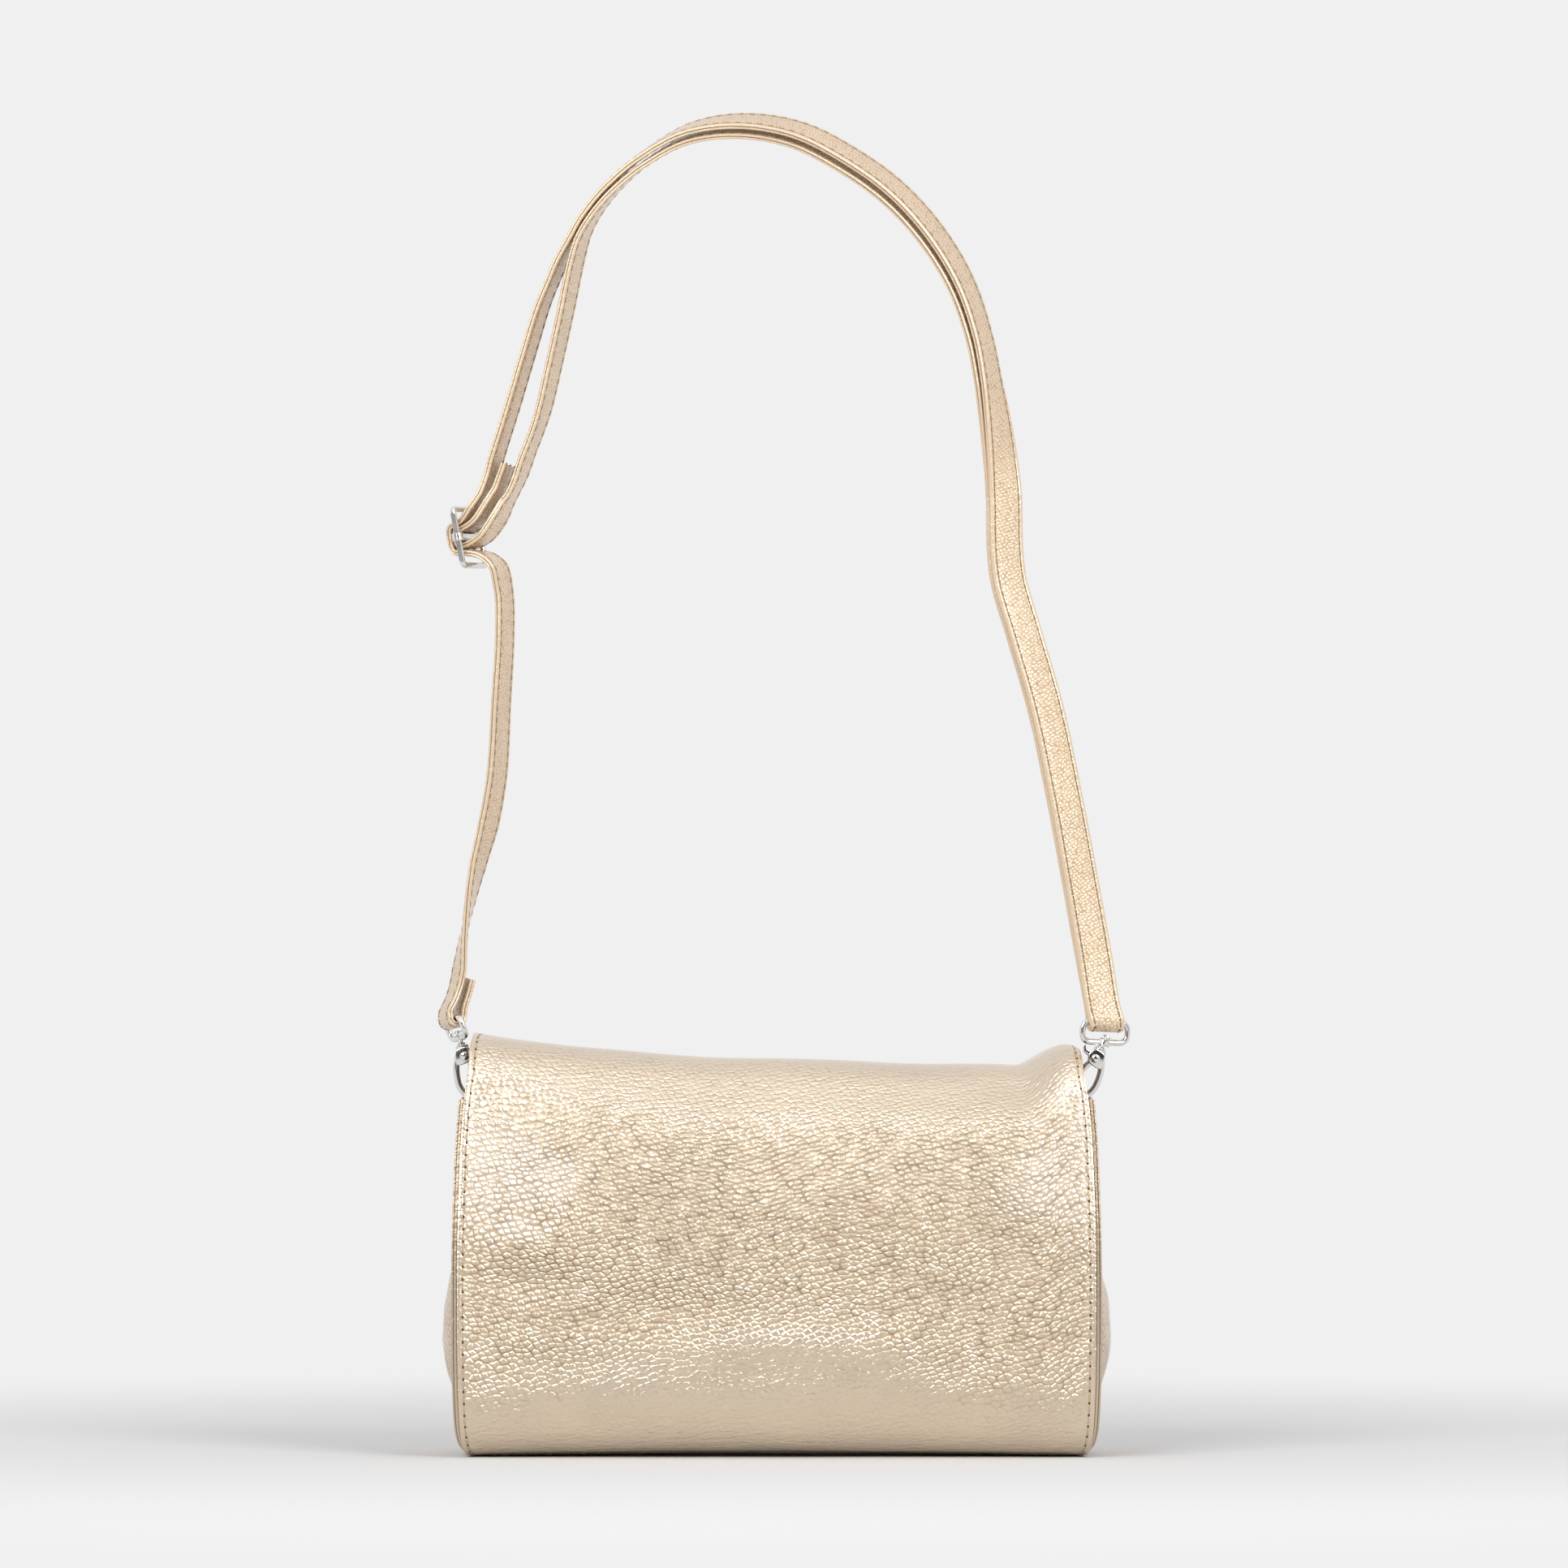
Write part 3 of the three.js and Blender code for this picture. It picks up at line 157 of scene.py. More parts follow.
def rear_column(u, count):
    """One line of the rear panel and flap from the base seam to the flap's edge."""
    controls = []
    for row, (half, edge_y, edge_z, middle_y, middle_z) in enumerate(REAR_FORM):
        share = swell(u)
        if row in FOLD_ROWS and u > 0:
            rise = min(1, max(0, (u - EAR_START) / (EAR_END - EAR_START)))
            share = 1 - rise * rise * (3 - 2 * rise)
        y = edge_y + (middle_y - edge_y) * share
        if row in FLAP_END_ROWS:
            share = 1 - abs(u) ** CORNER_POWER
        z = edge_z + (middle_z - edge_z) * share
        if row in FOLD_ROWS:
            height = math.sin(math.pi * (row - FOLD_ROWS[0] + 1) / (len(FOLD_ROWS) + 1))
            z -= height * (FOLD_TILT * u * share + RIGHT_CORNER_DROP * max(0, u) ** CORNER_POWER)
        controls.append((u * half, y, z))
    return curve_through(controls, count)


def unit(vectors):
    """The same directions, all of length one."""
    return vectors / np.maximum(np.linalg.norm(vectors, axis=-1, keepdims=True), 1e-9)


def normals_of(grid):
    """Directions square to a grid of points."""
    return unit(np.cross(np.gradient(grid, axis=1), np.gradient(grid, axis=0)))


def in_from_side(places):
    """How far in from a panel's side each of its columns lies."""
    return (1 - np.abs(places)) * PANEL_HALF


def stitch_furrow(places):
    """How far the thread pulls in each column of a panel along its stitch lines."""
    return (FURROW * np.exp(-((in_from_side(places) - SEAM_INSET) / FURROW_HALF) ** 2))[None, :, None]


REAR_PLACES = columns_across(130)
rear_points = np.stack([rear_column(u, REAR_ROWS) for u in REAR_PLACES], 1)
for line in rear_points:
    for point in line:
        x, y, z = point
        edge = max(0, 1 - (abs(x) / PANEL_HALF) ** 8)
        if y > FAR_SIDE:
            point[1] += soft_waves(x, z, 4.2, 55, 0.9) * edge
            continue
        push = sum(deep * math.exp(-((x - cx) / rx) ** 2 - ((z - cz) / rz) ** 2)
                   for cx, cz, deep, rx, rz in DENTS)
        push += soft_waves(x, z * 1.5, 1.7, 46, 1.3) + soft_waves(x * 0.6 + z, z - 0.5 * x, 7.7, 24, 0.5)
        facing = min(1, max(0, -y / FACING_DEPTH))
        point[1] += push * edge * facing
        point[2] -= push * edge * (1 - facing) * 0.6
rear_points -= normals_of(rear_points) * stitch_furrow(REAR_PLACES)


def grid_object(name, grid, grain=1.0, closed_across=False):
    """A sheet mesh from rows of points in millimetres, with its flat size as texture coordinates."""
    rows, columns = grid.shape[:2]
    wide = columns if closed_across else columns - 1
    j, i = (part.ravel() for part in np.meshgrid(np.arange(rows - 1), np.arange(wide), indexing="ij"))
    low, high, over = j * columns, (j + 1) * columns, (i + 1) % columns
    mesh = bpy.data.meshes.new(name)
    mesh.from_pydata((grid.reshape(-1, 3) * MM).tolist(), [],
                     np.stack([low + i, low + over, high + over, high + i], 1).tolist())
    ring = grid[rows // 2]
    along, across = distance_along(grid[:, columns // 2]), distance_along(np.vstack([ring, ring[:1]]))
    corners = [(across[i + right], along[j + up]) for right, up in ((0, 0), (1, 0), (1, 1), (0, 1))]
    flat = np.stack([np.stack(corner, 1) for corner in corners], 1) * MM
    mesh.uv_layers.new(name="flat").data.foreach_set("uv", flat.ravel())
    depth = np.broadcast_to(np.asarray(grain, np.float32), (rows, columns))
    mesh.attributes.new("grain", "FLOAT", "POINT").data.foreach_set("value", depth.ravel())
    return add_object(name, mesh)


def settle(piece, crisp=50):
    """Makes the piece's modifiers part of its mesh, with smooth faces and crisp edges."""
    bpy.context.view_layer.update()
    evaluated = piece.evaluated_get(bpy.context.evaluated_depsgraph_get())
    mesh = bpy.data.meshes.new_from_object(evaluated)
    piece.modifiers.clear()
    piece.data = mesh
    mesh.shade_smooth()
    mesh.set_sharp_from_angle(angle=math.radians(crisp))
    return piece


def round_edges(piece, width, sharpest):
    """Rounds the edges of a piece that are sharper than the given angle."""
    edge = piece.modifiers.new("rounding", "BEVEL")
    edge.width = width * MM
    edge.segments = 3
    edge.limit_method = "ANGLE"
    edge.angle_limit = math.radians(sharpest)


def give_thickness(piece, thickness, rounding, outer=-1, even=True):
    """Turns a sheet into a skin of real thickness with softened edges."""
    skin = piece.modifiers.new("thickness", "SOLIDIFY")
    skin.thickness = thickness * MM
    skin.offset = outer
    skin.use_even_offset = even
    round_edges(piece, rounding, 60)
    return settle(piece)


class Nodes:
    """Short ways to add and link the nodes of one material or world."""

    def __init__(self, owner):
        owner.use_nodes = True
        self.tree = owner.node_tree
        self.tree.nodes.clear()

    def add(self, kind, inputs=(), **settings):
        node = self.tree.nodes.new("ShaderNode" + kind)
        for key, value in settings.items():
            setattr(node, key, value)
        for key, value in dict(inputs).items():
            if isinstance(value, bpy.types.NodeSocket):
                self.tree.links.new(value, node.inputs[key])
            else:
                node.inputs[key].default_value = value
        return node

    def calc(self, operation, a, b=0.0, c=0.0):
        return self.add("Math", {0: a, 1: b, 2: c}, operation=operation).outputs[0]

    def vector(self, operation, a, b=(0, 0, 0)):
        node = self.add("VectorMath", {0: a, "Scale" if operation == "SCALE" else 1: b}, operation=operation)
        return node.outputs["Value" if operation in ("LENGTH", "DOT_PRODUCT") else "Vector"]

    def noise(self, place, scale, detail, output=0, **more):
        return self.add("TexNoise", {"Vector": place, "Scale": scale, "Detail": detail, **more}).outputs[output]

    def spread(self, value, low, high, start=0.0, end=1.0, **settings):
        return self.add("MapRange", {0: value, 1: low, 2: high, 3: start, 4: end}, **settings).outputs[0]

    def ramp(self, value, stops):
        node = self.add("ValToRGB", {0: value})
        band = node.color_ramp
        while len(band.elements) < len(stops):
            band.elements.new(0.5)
        for element, (place, colour) in zip(band.elements, stops):
            element.position = place
            element.color = (*colour, 1)
        return node.outputs[0]

    def bump(self, strength, depth, height):
        return self.add("Bump", {"Strength": strength, "Distance": depth * MM, "Height": height}).outputs[0]

    def surface(self, inputs):
        shader = self.add("BsdfPrincipled", inputs)
        self.add("OutputMaterial", {"Surface": shader.outputs[0]})


def new_material(name):
    material = bpy.data.materials.new(name)
    return material, Nodes(material)


def pebbled_leatherette(name, pebble, relief, metal, tone=(1.0, 1.0, 1.0)):
    """Champagne-gold metallic leatherette: pebbles in slanting rows, with painted shade darkening the colour low in
    their grooves and wrinkles; a grain below nought paints a dark line of shade.
    """
    material, make = new_material(name)
    calc = make.calc
    flat = make.add("UVMap", uv_map="flat").outputs[0]
    laid_grain = make.add("Attribute", attribute_name="grain").outputs["Fac"]
    grain = calc("MAXIMUM", laid_grain, 0.0)
    # Painted shade: where the grain is below nought the colour darkens to a third, as in a shadowed groove.
    painted_groove_shade = make.spread(laid_grain, -0.2, 0.0, 0.34, 1.0)
    place = flat
    for size, reach in ((60 * MM, 12 * MM), (pebble * 1.1 * MM, pebble * 0.3 * MM)):
        bend = make.vector("SUBTRACT", make.noise(flat, 1 / size, 1.0, "Color"), (0.5, 0.5, 0.5))
        place = make.vector("ADD", place, make.vector("SCALE", bend, reach))
    slant = make.add("VectorRotate", {"Vector": place, "Angle": math.radians(-18)}, rotation_type="Z_AXIS")
    ways = make.add("SeparateXYZ", {0: slant.outputs[0]}).outputs
    row = calc("DIVIDE", ways[1], pebble * 0.8 * MM)
    along = calc("MULTIPLY_ADD", row, 0.2, calc("DIVIDE", ways[0], pebble * MM))
    laid = make.add("CombineXYZ", {0: along, 1: row}).outputs[0]
    edge, heart = (make.add("TexVoronoi", {"Vector": laid, "Scale": 1.0, "Randomness": 0.6}, voronoi_dimensions="2D",
                            feature=feature).outputs["Distance"] for feature in ("DISTANCE_TO_EDGE", "F1"))
    groove = make.spread(edge, 0.0, 0.3, interpolation_type="SMOOTHSTEP")
    away = calc("MULTIPLY", heart, 1.2)
    crown = calc("MAXIMUM", calc("SUBTRACT", 1.0, calc("MULTIPLY", away, away)), 0.1)
    dome = calc("MULTIPLY_ADD", groove, 0.38, calc("MULTIPLY", crown, 0.62))
    fine = make.noise(flat, 1 / (0.7 * MM), 3.0)
    uneven = make.noise(flat, 1 / (pebble * 2.6 * MM), 1.0)
    patches = make.noise(flat, 1 / (38 * MM), 2.0)
    depth = calc("MULTIPLY", make.spread(uneven, 0.3, 0.7, 0.78, 1.2), grain)
    pebbles = calc("MULTIPLY_ADD", calc("SUBTRACT", dome, 1.0), depth, 1.0)
    pulled = make.add("Mapping", {"Vector": place, "Rotation": (0, 0, math.radians(-8)), "Scale": (1.0, 3.2, 1)})
    wrinkles = make.noise(pulled.outputs[0], 1 / (6.5 * MM), 3.0)
    folds = calc("MULTIPLY", wrinkles, calc("MULTIPLY_ADD", grain, -0.35, 0.85))
    height = calc("MULTIPLY_ADD", fine, 0.06, calc("ADD", folds, calc("SUBTRACT", pebbles, 0.25)))
    # Painted shade: the colour darkens from the pebbles' crowns down into their grooves and wrinkles.
    painted_shade_stops = [(0.1, (0.45, 0.325, 0.205)), (0.5, (0.62, 0.48, 0.335)), (0.9, (0.745, 0.62, 0.475))]
    gold = make.ramp(height, [(stop, tuple(c * t for c, t in zip(shade, tone))) for stop, shade in painted_shade_stops])
    wash = make.spread(patches, 0.3, 0.7, 0.95, 1.03)
    make.surface({
        "Base Color": make.vector("SCALE", gold, calc("MULTIPLY", wash, painted_groove_shade)),
        "Roughness": make.spread(height, 0.2, 1.0, 0.42, 0.31), "Normal": make.bump(1.0, relief, height),
        "Metallic": metal, "Coat Weight": 0.8, "Coat Roughness": 0.28,
    })
    return material


def finish_piece(piece, finish, body, *nodes):
    """Gives a piece its material, hides the solids that it stands for and hangs it on the body that it rides on."""
    material, slot = finish
    piece.data.materials.clear()
    piece.data.materials.append(material)
    if nodes:
        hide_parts(*nodes)
    if body:
        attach(piece, body)
    return piece


def step_up(t):
    """A soft step from nought to one."""
    return 1 / (1 + np.exp(-t))


leatherette = (pebbled_leatherette("leatherette", 2.7, 0.7, 0.86), "leatherette")
x, y, z = np.moveaxis(rear_points, 2, 0)
band_top = 23 + 28 * np.exp(-((x + 5) / 62) ** 2) + 3 * np.sin(x / 17)
pulled_flat = step_up((z - band_top) / 5.5)  # the pebbles are bold above a wrinkled band along the base
over_the_fold = step_up((y + 27) / 3) - step_up((y - 34) / 2.5)
pulled_flat *= 1 - 0.72 * over_the_fold
pulled_flat *= 1 - 0.85 * np.exp(-((x - 78) / 36) ** 2 - ((z - 150) / 12) ** 2)
rear_grain = 0.25 + 0.75 * pulled_flat
for from_edge in (in_from_side(REAR_PLACES), np.arange(len(rear_points))[::-1, None] * ROW_SPACING):
    rear_grain = rear_grain * (1 - 0.9 * np.exp(-(from_edge / PRESSED_REACH) ** 2))
rear_skin = give_thickness(grid_object("rear_panel_and_flap", rear_points, rear_grain), LEATHER_T, 0.45, even=False)
finish_piece(rear_skin, leatherette, None, "rear_panel", "flap")
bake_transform(rear_skin)


# Front panel: the other large panel, hidden under the flap except along its lower edge.
# It is sewn to both gussets and to the base, and is open along the mouth.
FRONT_PLACES = columns_across(90)
FRONT_HALF = 122
FRONT_SWELL = 3.4  # the fullest that the front swells past its seams
FRONT_SAG = 0.3  # share of the rear's sag along the mouth


def front_column(u, count):
    controls = []
    for half, edge_y, edge_z, middle_y, middle_z in REAR_FORM[:BODY_ROWS]:
        y = edge_y + (max(middle_y, edge_y - FRONT_SWELL) - edge_y) * swell(u)
        controls.append((u * half, -min(y, edge_y), edge_z + (middle_z - edge_z) * swell(u) * FRONT_SAG))
    return curve_through(controls, count)


def sheet_piece(name, grid, thickness, rounding, outer, finish, *nodes, grain=1.0):
    """A sheet sewn into the body: its mesh, thickness, finish and the solids that it stands for."""
    piece = give_thickness(grid_object(name, grid, grain), thickness, rounding, outer)
    return finish_piece(piece, finish, "bag", *nodes)


front_points = np.stack([front_column(u, 90) for u in FRONT_PLACES], 1)
for line in front_points:
    for point in line:
        edge = max(0, 1 - (abs(point[0]) / FRONT_HALF) ** 6)
        point[1] += soft_waves(point[0], point[2], 9.1, 50, 0.6) * edge
front_points += normals_of(front_points) * stitch_furrow(FRONT_PLACES)
sheet_piece("front_panel_skin", front_points, LEATHER_T, 0.45, 1, leatherette, "front_panel")


# Base panel and board: a strip of the same leatherette across the bottom, sewn to the front and
# rear panels, with a fibreboard stiffener lying on it. Both bow up a little between their ends.
BASE_HALF = 120.6
BASE_DEPTH = 23.4
BASE_T = 1.4
BASE_BOW = 1.3
BASE_LOW, BOARD_LOW = 0.2, 1.8  # height of each over the floor at its ends
BOARD_HALF = 111
BOARD_T = 1.5


def bowed_strip(half, deep, low):
    return np.array([[(x, y, low + BASE_BOW * (1 - (x / BASE_HALF) ** 2)) for x in np.linspace(-half, half, 60)]
                     for y in np.linspace(-deep / 2, deep / 2, 14)])


sheet_piece("base_panel_skin", bowed_strip(BASE_HALF, BASE_DEPTH, BASE_LOW), BASE_T, 0.3, 1, leatherette, "base_panel")
board_material, make = new_material("fibreboard")
fibres = make.noise(make.add("TexCoord").outputs["Object"], 900.0, 4.0, Distortion=1.5)
brown = make.ramp(fibres, [(0.3, (0.19, 0.145, 0.09)), (0.7, (0.30, 0.24, 0.16))])
make.surface({"Base Color": brown, "Normal": make.bump(0.5, 0.2, fibres), "Roughness": 0.85})
fibreboard = (board_material, "fibreboard")
board = bowed_strip(BOARD_HALF, BASE_DEPTH, BOARD_LOW)
sheet_piece("base_stiffener", board, BOARD_T, 0.2, 1, fibreboard, "base_board")


# Gussets: one at each end, a single piece of leatherette with its edges turned out and back into
# a two-ply flange sewn behind the panels' edges. Each bellies out below the middle and dips at the mouth.
ENDS = (("left", -1), ("right", 1))
# Each ply: depth behind the panel's face, thickness, and reach past the panel's edge.
FLANGE_PLIES = [(1.75, 1.1, 1.3), (3.0, 1.0, 2.3)]
FLANGE_WIDTH = 7.4
# A faint grain, with painted shade where one ply goes under the next and a little along each ply's own edge.
FLANGE_GRAIN_AND_PAINTED_SHADE = [0.05, 0.05, -0.2, -0.2, 0.05, 0.05, -0.1]  # dark where one ply goes under the next
FLANGE_ROWS = 150
GUSSET_PLACE = 119.0
GUSSET_T = 1.4
GUSSET_DEPTH = LEATHER_T + 1.0  # behind the panel's face
GUSSET_SWELL = 12.3
GUSSET_FULLEST = 47  # height at which it bellies most
GUSSET_DIP = 13.0
WEB_ROWS = 80
WIDEST = 124.9


def seam_line(count):
    """The side seam from the rear mouth under the base to the front mouth: half width, depth and height."""
    rear = [(half, y, z) for half, y, z, _, _ in REAR_FORM[:BODY_ROWS]]
    front = [(half, -y, z) for half, y, z in rear]
    return curve_through(rear[::-1] + front, count)


def moved_in(line, distance):
    """The seam line moved inwards, square to itself."""
    tangent = unit(np.gradient(line[:, 1:], axis=0))
    moved = line.copy()
    moved[:, 1] -= tangent[:, 1] * distance
    moved[:, 2] += tangent[:, 0] * distance
    return moved


def end_web(sign, depth, place, bulge):
    """An upright wall across the bag's end, between its two side seams."""
    line = moved_in(seam_line(2 * WEB_ROWS + 1), depth)
    rear, front = line[:WEB_ROWS + 1][::-1], line[WEB_ROWS:]
    rows = []
    for k in range(WEB_ROWS + 1):
        row = []
        for u in np.linspace(0, 1, 33):
            half, y, z = rear[k] + (front[k] - rear[k]) * u
            inner = 1 - (2 * u - 1) ** 2
            z -= GUSSET_DIP * inner * (k / WEB_ROWS) ** 3
            spread = 34 if z < GUSSET_FULLEST else 46
            out = bulge * math.exp(-((z - GUSSET_FULLEST) / spread) ** 2) * inner ** 0.7
            if bulge:
                out += soft_waves(y, z, 3.3 * sign, 22, 1.2) * inner
                out += soft_waves(y + z, z - y, 5.1 * sign, 12, 0.5) * inner
            row.append((sign * (place - WIDEST + half + out), y, z))
        rows.append(row)
    return np.array(rows)


# Painted shade: the gussets get a darker copy of the panels' leatherette.
shaded_gusset_leatherette = (pebbled_leatherette("shaded_gusset_leatherette", 2.7, 0.6, 0.8, (0.9, 0.84, 0.78)), "leatherette")
for side, sign in ENDS:
    web = end_web(sign, GUSSET_DEPTH, GUSSET_PLACE, GUSSET_SWELL)
    sheet_piece(f"{side}_gusset_web", web, GUSSET_T, 0.3, -sign, shaded_gusset_leatherette, f"{side}_gusset", grain=0.8)
    tucked = 0.0
    for ply, (depth, thick, reach) in enumerate(FLANGE_PLIES, 1):
        across = [-FLANGE_WIDTH, -3.0, tucked - 0.3, tucked + 0.3, tucked + 0.55, reach - 0.3, reach]
        seam = moved_in(seam_line(FLANGE_ROWS), depth)
        flange = np.array([[(sign * (half + x), y, z) for x in across] for half, y, z in seam])
        sheet_piece(f"{side}_flange_ply_{ply}", flange, thick, 0.4, sign, shaded_gusset_leatherette, grain=FLANGE_GRAIN_AND_PAINTED_SHADE)
        tucked = reach


# Lining: a woven cloth bag inside the seams, with a slip pocket on its rear wall and a separate
# lining sewn to the flap's underside a few millimetres in from the edge.
LINING_DEPTH = 4.4
LINING_T = 0.9
LINING_END = 117.3
LINING_FLOOR = 5.2  # height of the cloth over the base board
POCKET_GAP = 0.4
POCKET_ROWS, POCKET_COLUMNS = slice(12, 52), slice(15, 45)  # the part of the lining that it covers
FLAP_HEM = 0.972  # share of the flap's width that its lining covers
FLAP_LINED = slice(99, -2)  # rows of the flap that it covers
FLAP_LINING_GAP, FLAP_PADDING, PADDING_ROWS = 0.15, 1.15, 12


def woven_cloth(name, colour, thread):
    """Plain-woven lining cloth: crossing threads that vary a little in shade."""
    material, make = new_material(name)
    flat = make.add("UVMap", uv_map="flat").outputs[0]
    threads = [make.add("TexWave", {"Vector": flat, "Scale": 0.314 / (thread * MM), "Distortion": 0.6},
                        bands_direction=way).outputs["Fac"] for way in ("X", "Y")]
    weave = make.calc("MULTIPLY", *threads)
    shade = make.calc("MULTIPLY", make.noise(flat, 260.0, 3.0), 0.5)
    mixed = make.calc("MULTIPLY_ADD", weave, 0.5, shade)
    tint = make.ramp(mixed, [(0.15, tuple(0.62 * c for c in colour)), (0.7, colour)])
    make.surface({"Base Color": tint, "Normal": make.bump(0.7, 0.15, weave), "Roughness": 0.85, "Sheen Weight": 0.25})
    return material


lining_cloth = (woven_cloth("lining_cloth", (0.56, 0.44, 0.285), 0.55), "lining_cloth")
lining_lines = []
for u in np.linspace(-1, 1, 60):
    share = swell(u)
    rear_half = [(half, y + (middle_y - y) * share, z + (middle_z - z) * share)
                 for half, y, z, middle_y, middle_z in REAR_FORM[:BODY_ROWS]]
    front_half = [(half, -y, z + (middle_z - z) * share * FRONT_SAG)
                  for half, y, z, _, middle_z in REAR_FORM[:BODY_ROWS]]
    line = moved_in(curve_through(rear_half[::-1] + front_half, 140), LINING_DEPTH)
    lining_lines.append([(u * (LINING_END - WIDEST + half), y, max(z, LINING_FLOOR)) for half, y, z in line])
lining_grid = np.array(lining_lines).transpose(1, 0, 2)
sheet_piece("lining_walls", lining_grid, LINING_T, 0.2, 1, lining_cloth, "lining")
for side, sign in ENDS:
    end = end_web(sign, LINING_DEPTH, LINING_END, 0)
    sheet_piece(f"{side}_lining_end", end, LINING_T, 0.2, -sign, lining_cloth)
pocket = lining_grid[POCKET_ROWS, POCKET_COLUMNS] + (0, LINING_T + POCKET_GAP, 0)
sheet_piece("slip_pocket_patch", pocket, LINING_T, 0.2, 1, lining_cloth, "slip_pocket")
rear_normals = normals_of(rear_points)
inside = np.abs(REAR_PLACES) < FLAP_HEM
from_end = np.arange(1, len(rear_points[FLAP_LINED]) + 1) / PADDING_ROWS
padding = np.minimum(1, np.minimum(from_end, from_end[::-1]))[:, None]
padding = padding * (1 - np.abs(REAR_PLACES[inside] / FLAP_HEM) ** 6)
under = (LEATHER_T + FLAP_LINING_GAP + FLAP_PADDING * padding)[..., None]
backing = rear_points[FLAP_LINED, inside] - rear_normals[FLAP_LINED, inside] * under
flap_backing = give_thickness(grid_object("flap_backing", backing), LINING_T, 0.2, even=False)
finish_piece(flap_backing, lining_cloth, None, "flap_lining")
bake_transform(flap_backing)


# Stitching: a lockstitch in gold thread two millimetres in from each edge of the panels and flap.
# Each stitch dives into a punched hole at both ends, and each hole is a small dark cup of painted shade.
STITCH_PITCH = 4.9
STITCH_LENGTH = 4.1
THREAD_RADIUS = 0.34
HOLE_RADIUS = 0.72
HEM_ROW, HEM_ENDS = -4, slice(12, -12)  # the row of the flap that its hem stitches follow
THREAD_RINGS, THREAD_SIDES = 7, 6


def plain_material(name, colour, roughness, grain_size, relief):
    """A matt material with a fine uneven surface."""
    material, make = new_material(name)
    fine = make.noise(make.add("TexCoord").outputs["Object"], 1 / (grain_size * MM), 3.0)
    tint = make.ramp(fine, [(0.3, tuple(0.7 * c for c in colour)), (0.7, colour)])
    make.surface({"Base Color": tint, "Normal": make.bump(0.6, relief, fine), "Roughness": roughness})
    return material


thread = plain_material("thread", (0.60, 0.46, 0.31), 0.6, 0.25, 0.08)
# Painted shade: a near-black cup stands for the shade inside each stitch hole.
painted_hole_shade = plain_material("stitch_hole_painted_shade", (0.13, 0.09, 0.05), 0.9, 0.3, 0.05)


def mesh_object(name, points, faces):
    mesh = bpy.data.meshes.new(name)
    mesh.from_pydata((np.asarray(points) * MM).tolist(), [], faces)
    return add_object(name, mesh)


def tube_faces(rings, sides, closed=False):
    """The faces of a tube of rings of points, capped at both ends unless it closes on itself."""
    faces = []
    for j in range(rings if closed else rings - 1):
        low, high = j * sides, (j + 1) % rings * sides
        faces += [(low + i, low + (i + 1) % sides, high + (i + 1) % sides, high + i) for i in range(sides)]
    if not closed:
        faces += [tuple(range(sides))[::-1], tuple(range((rings - 1) * sides, rings * sides))]
    return faces


def stitch_row(name, path, normals, pitch=STITCH_PITCH, length=STITCH_LENGTH, yarn=thread):
    """A row of stitches on a line of points, each a short bowed thread with a hole of painted shade after it."""
    run = distance_along(path)
    count = int(run[-1] / pitch)

    def at(s, values):
        return np.stack([np.interp(s, run, values[:, k]) for k in range(3)], -1)

    circle = [(math.cos(a), math.sin(a)) for a in np.linspace(0, 2 * math.pi, THREAD_SIDES, endpoint=False)]
    bowed = tube_faces(THREAD_RINGS, THREAD_SIDES)
    *walls, rim, floor = tube_faces(2, THREAD_SIDES)
    hole = [wall[:1] + wall[:0:-1] for wall in walls] + [rim[::-1], floor[::-1]]
    hole = [tuple(THREAD_RINGS * THREAD_SIDES + k for k in face) for face in hole]
    points, faces = [], []
    for s in (np.arange(count) + 0.5) * run[-1] / count:
        faces += [tuple(len(points) + k for k in face) for face in bowed + hole]
        up = unit(at(s, normals))
        along = unit(at(s + length / 2, path) - at(s - length / 2, path))
        side = np.cross(along, up)
        for t in np.linspace(-1, 1, THREAD_RINGS):
            heart = at(s + t * length / 2, path) + up * (0.12 - 0.5 * t ** 4)
            thick = THREAD_RADIUS * (1 - 0.75 * t ** 6)
            points += [heart + thick * (c * side + 0.8 * d * up) for c, d in circle]
        here = at(s + pitch / 2, path)
        points += [here + up * 0.06 + HOLE_RADIUS * (c * side * 0.8 + d * along) for c, d in circle]
        points += [here - up * 0.4 + 0.6 * HOLE_RADIUS * (c * side + d * along) for c, d in circle]
    row = mesh_object(name, points, faces)
    row.data.materials.append(yarn)
    row.data.materials.append(painted_hole_shade)
    row.data.polygons.foreach_set("material_index", ([0] * len(bowed) + [1] * len(hole)) * count)
    row.data.shade_smooth()
    return row


def panel_edge_line(points, normals, places, share):
    """A line down a panel at one share of its width."""
    right = int(np.searchsorted(places, share))
    mix = (share - places[right - 1]) / (places[right] - places[right - 1])
    return tuple(part[:, right - 1] * (1 - mix) + part[:, right] * mix for part in (points, normals))


stitch_share = 1 - SEAM_INSET / PANEL_HALF
for side, sign in ENDS:
    path, up = panel_edge_line(rear_points, rear_normals, REAR_PLACES, sign * stitch_share)
    row = stitch_row(f"{side}_rear_stitching", path[2:-2], up[2:-2])
    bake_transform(row)
    path, up = panel_edge_line(front_points, -normals_of(front_points), FRONT_PLACES, sign * stitch_share)
    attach(stitch_row(f"{side}_front_stitching", path[2:-2], up[2:-2]), "bag")
hem_row = stitch_row("flap_hem_stitching", rear_points[HEM_ROW, HEM_ENDS], rear_normals[HEM_ROW, HEM_ENDS])
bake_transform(hem_row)


# Magnetic snap: a pressed nickel socket on the front panel and its stud on the flap's lining.
# Their prongs are bent over the thin steel washers that lie out of sight behind each of them.
SNAP_HEIGHT = 82.0
SOCKET_FACE = 38.9  # depth of the front panel's face there
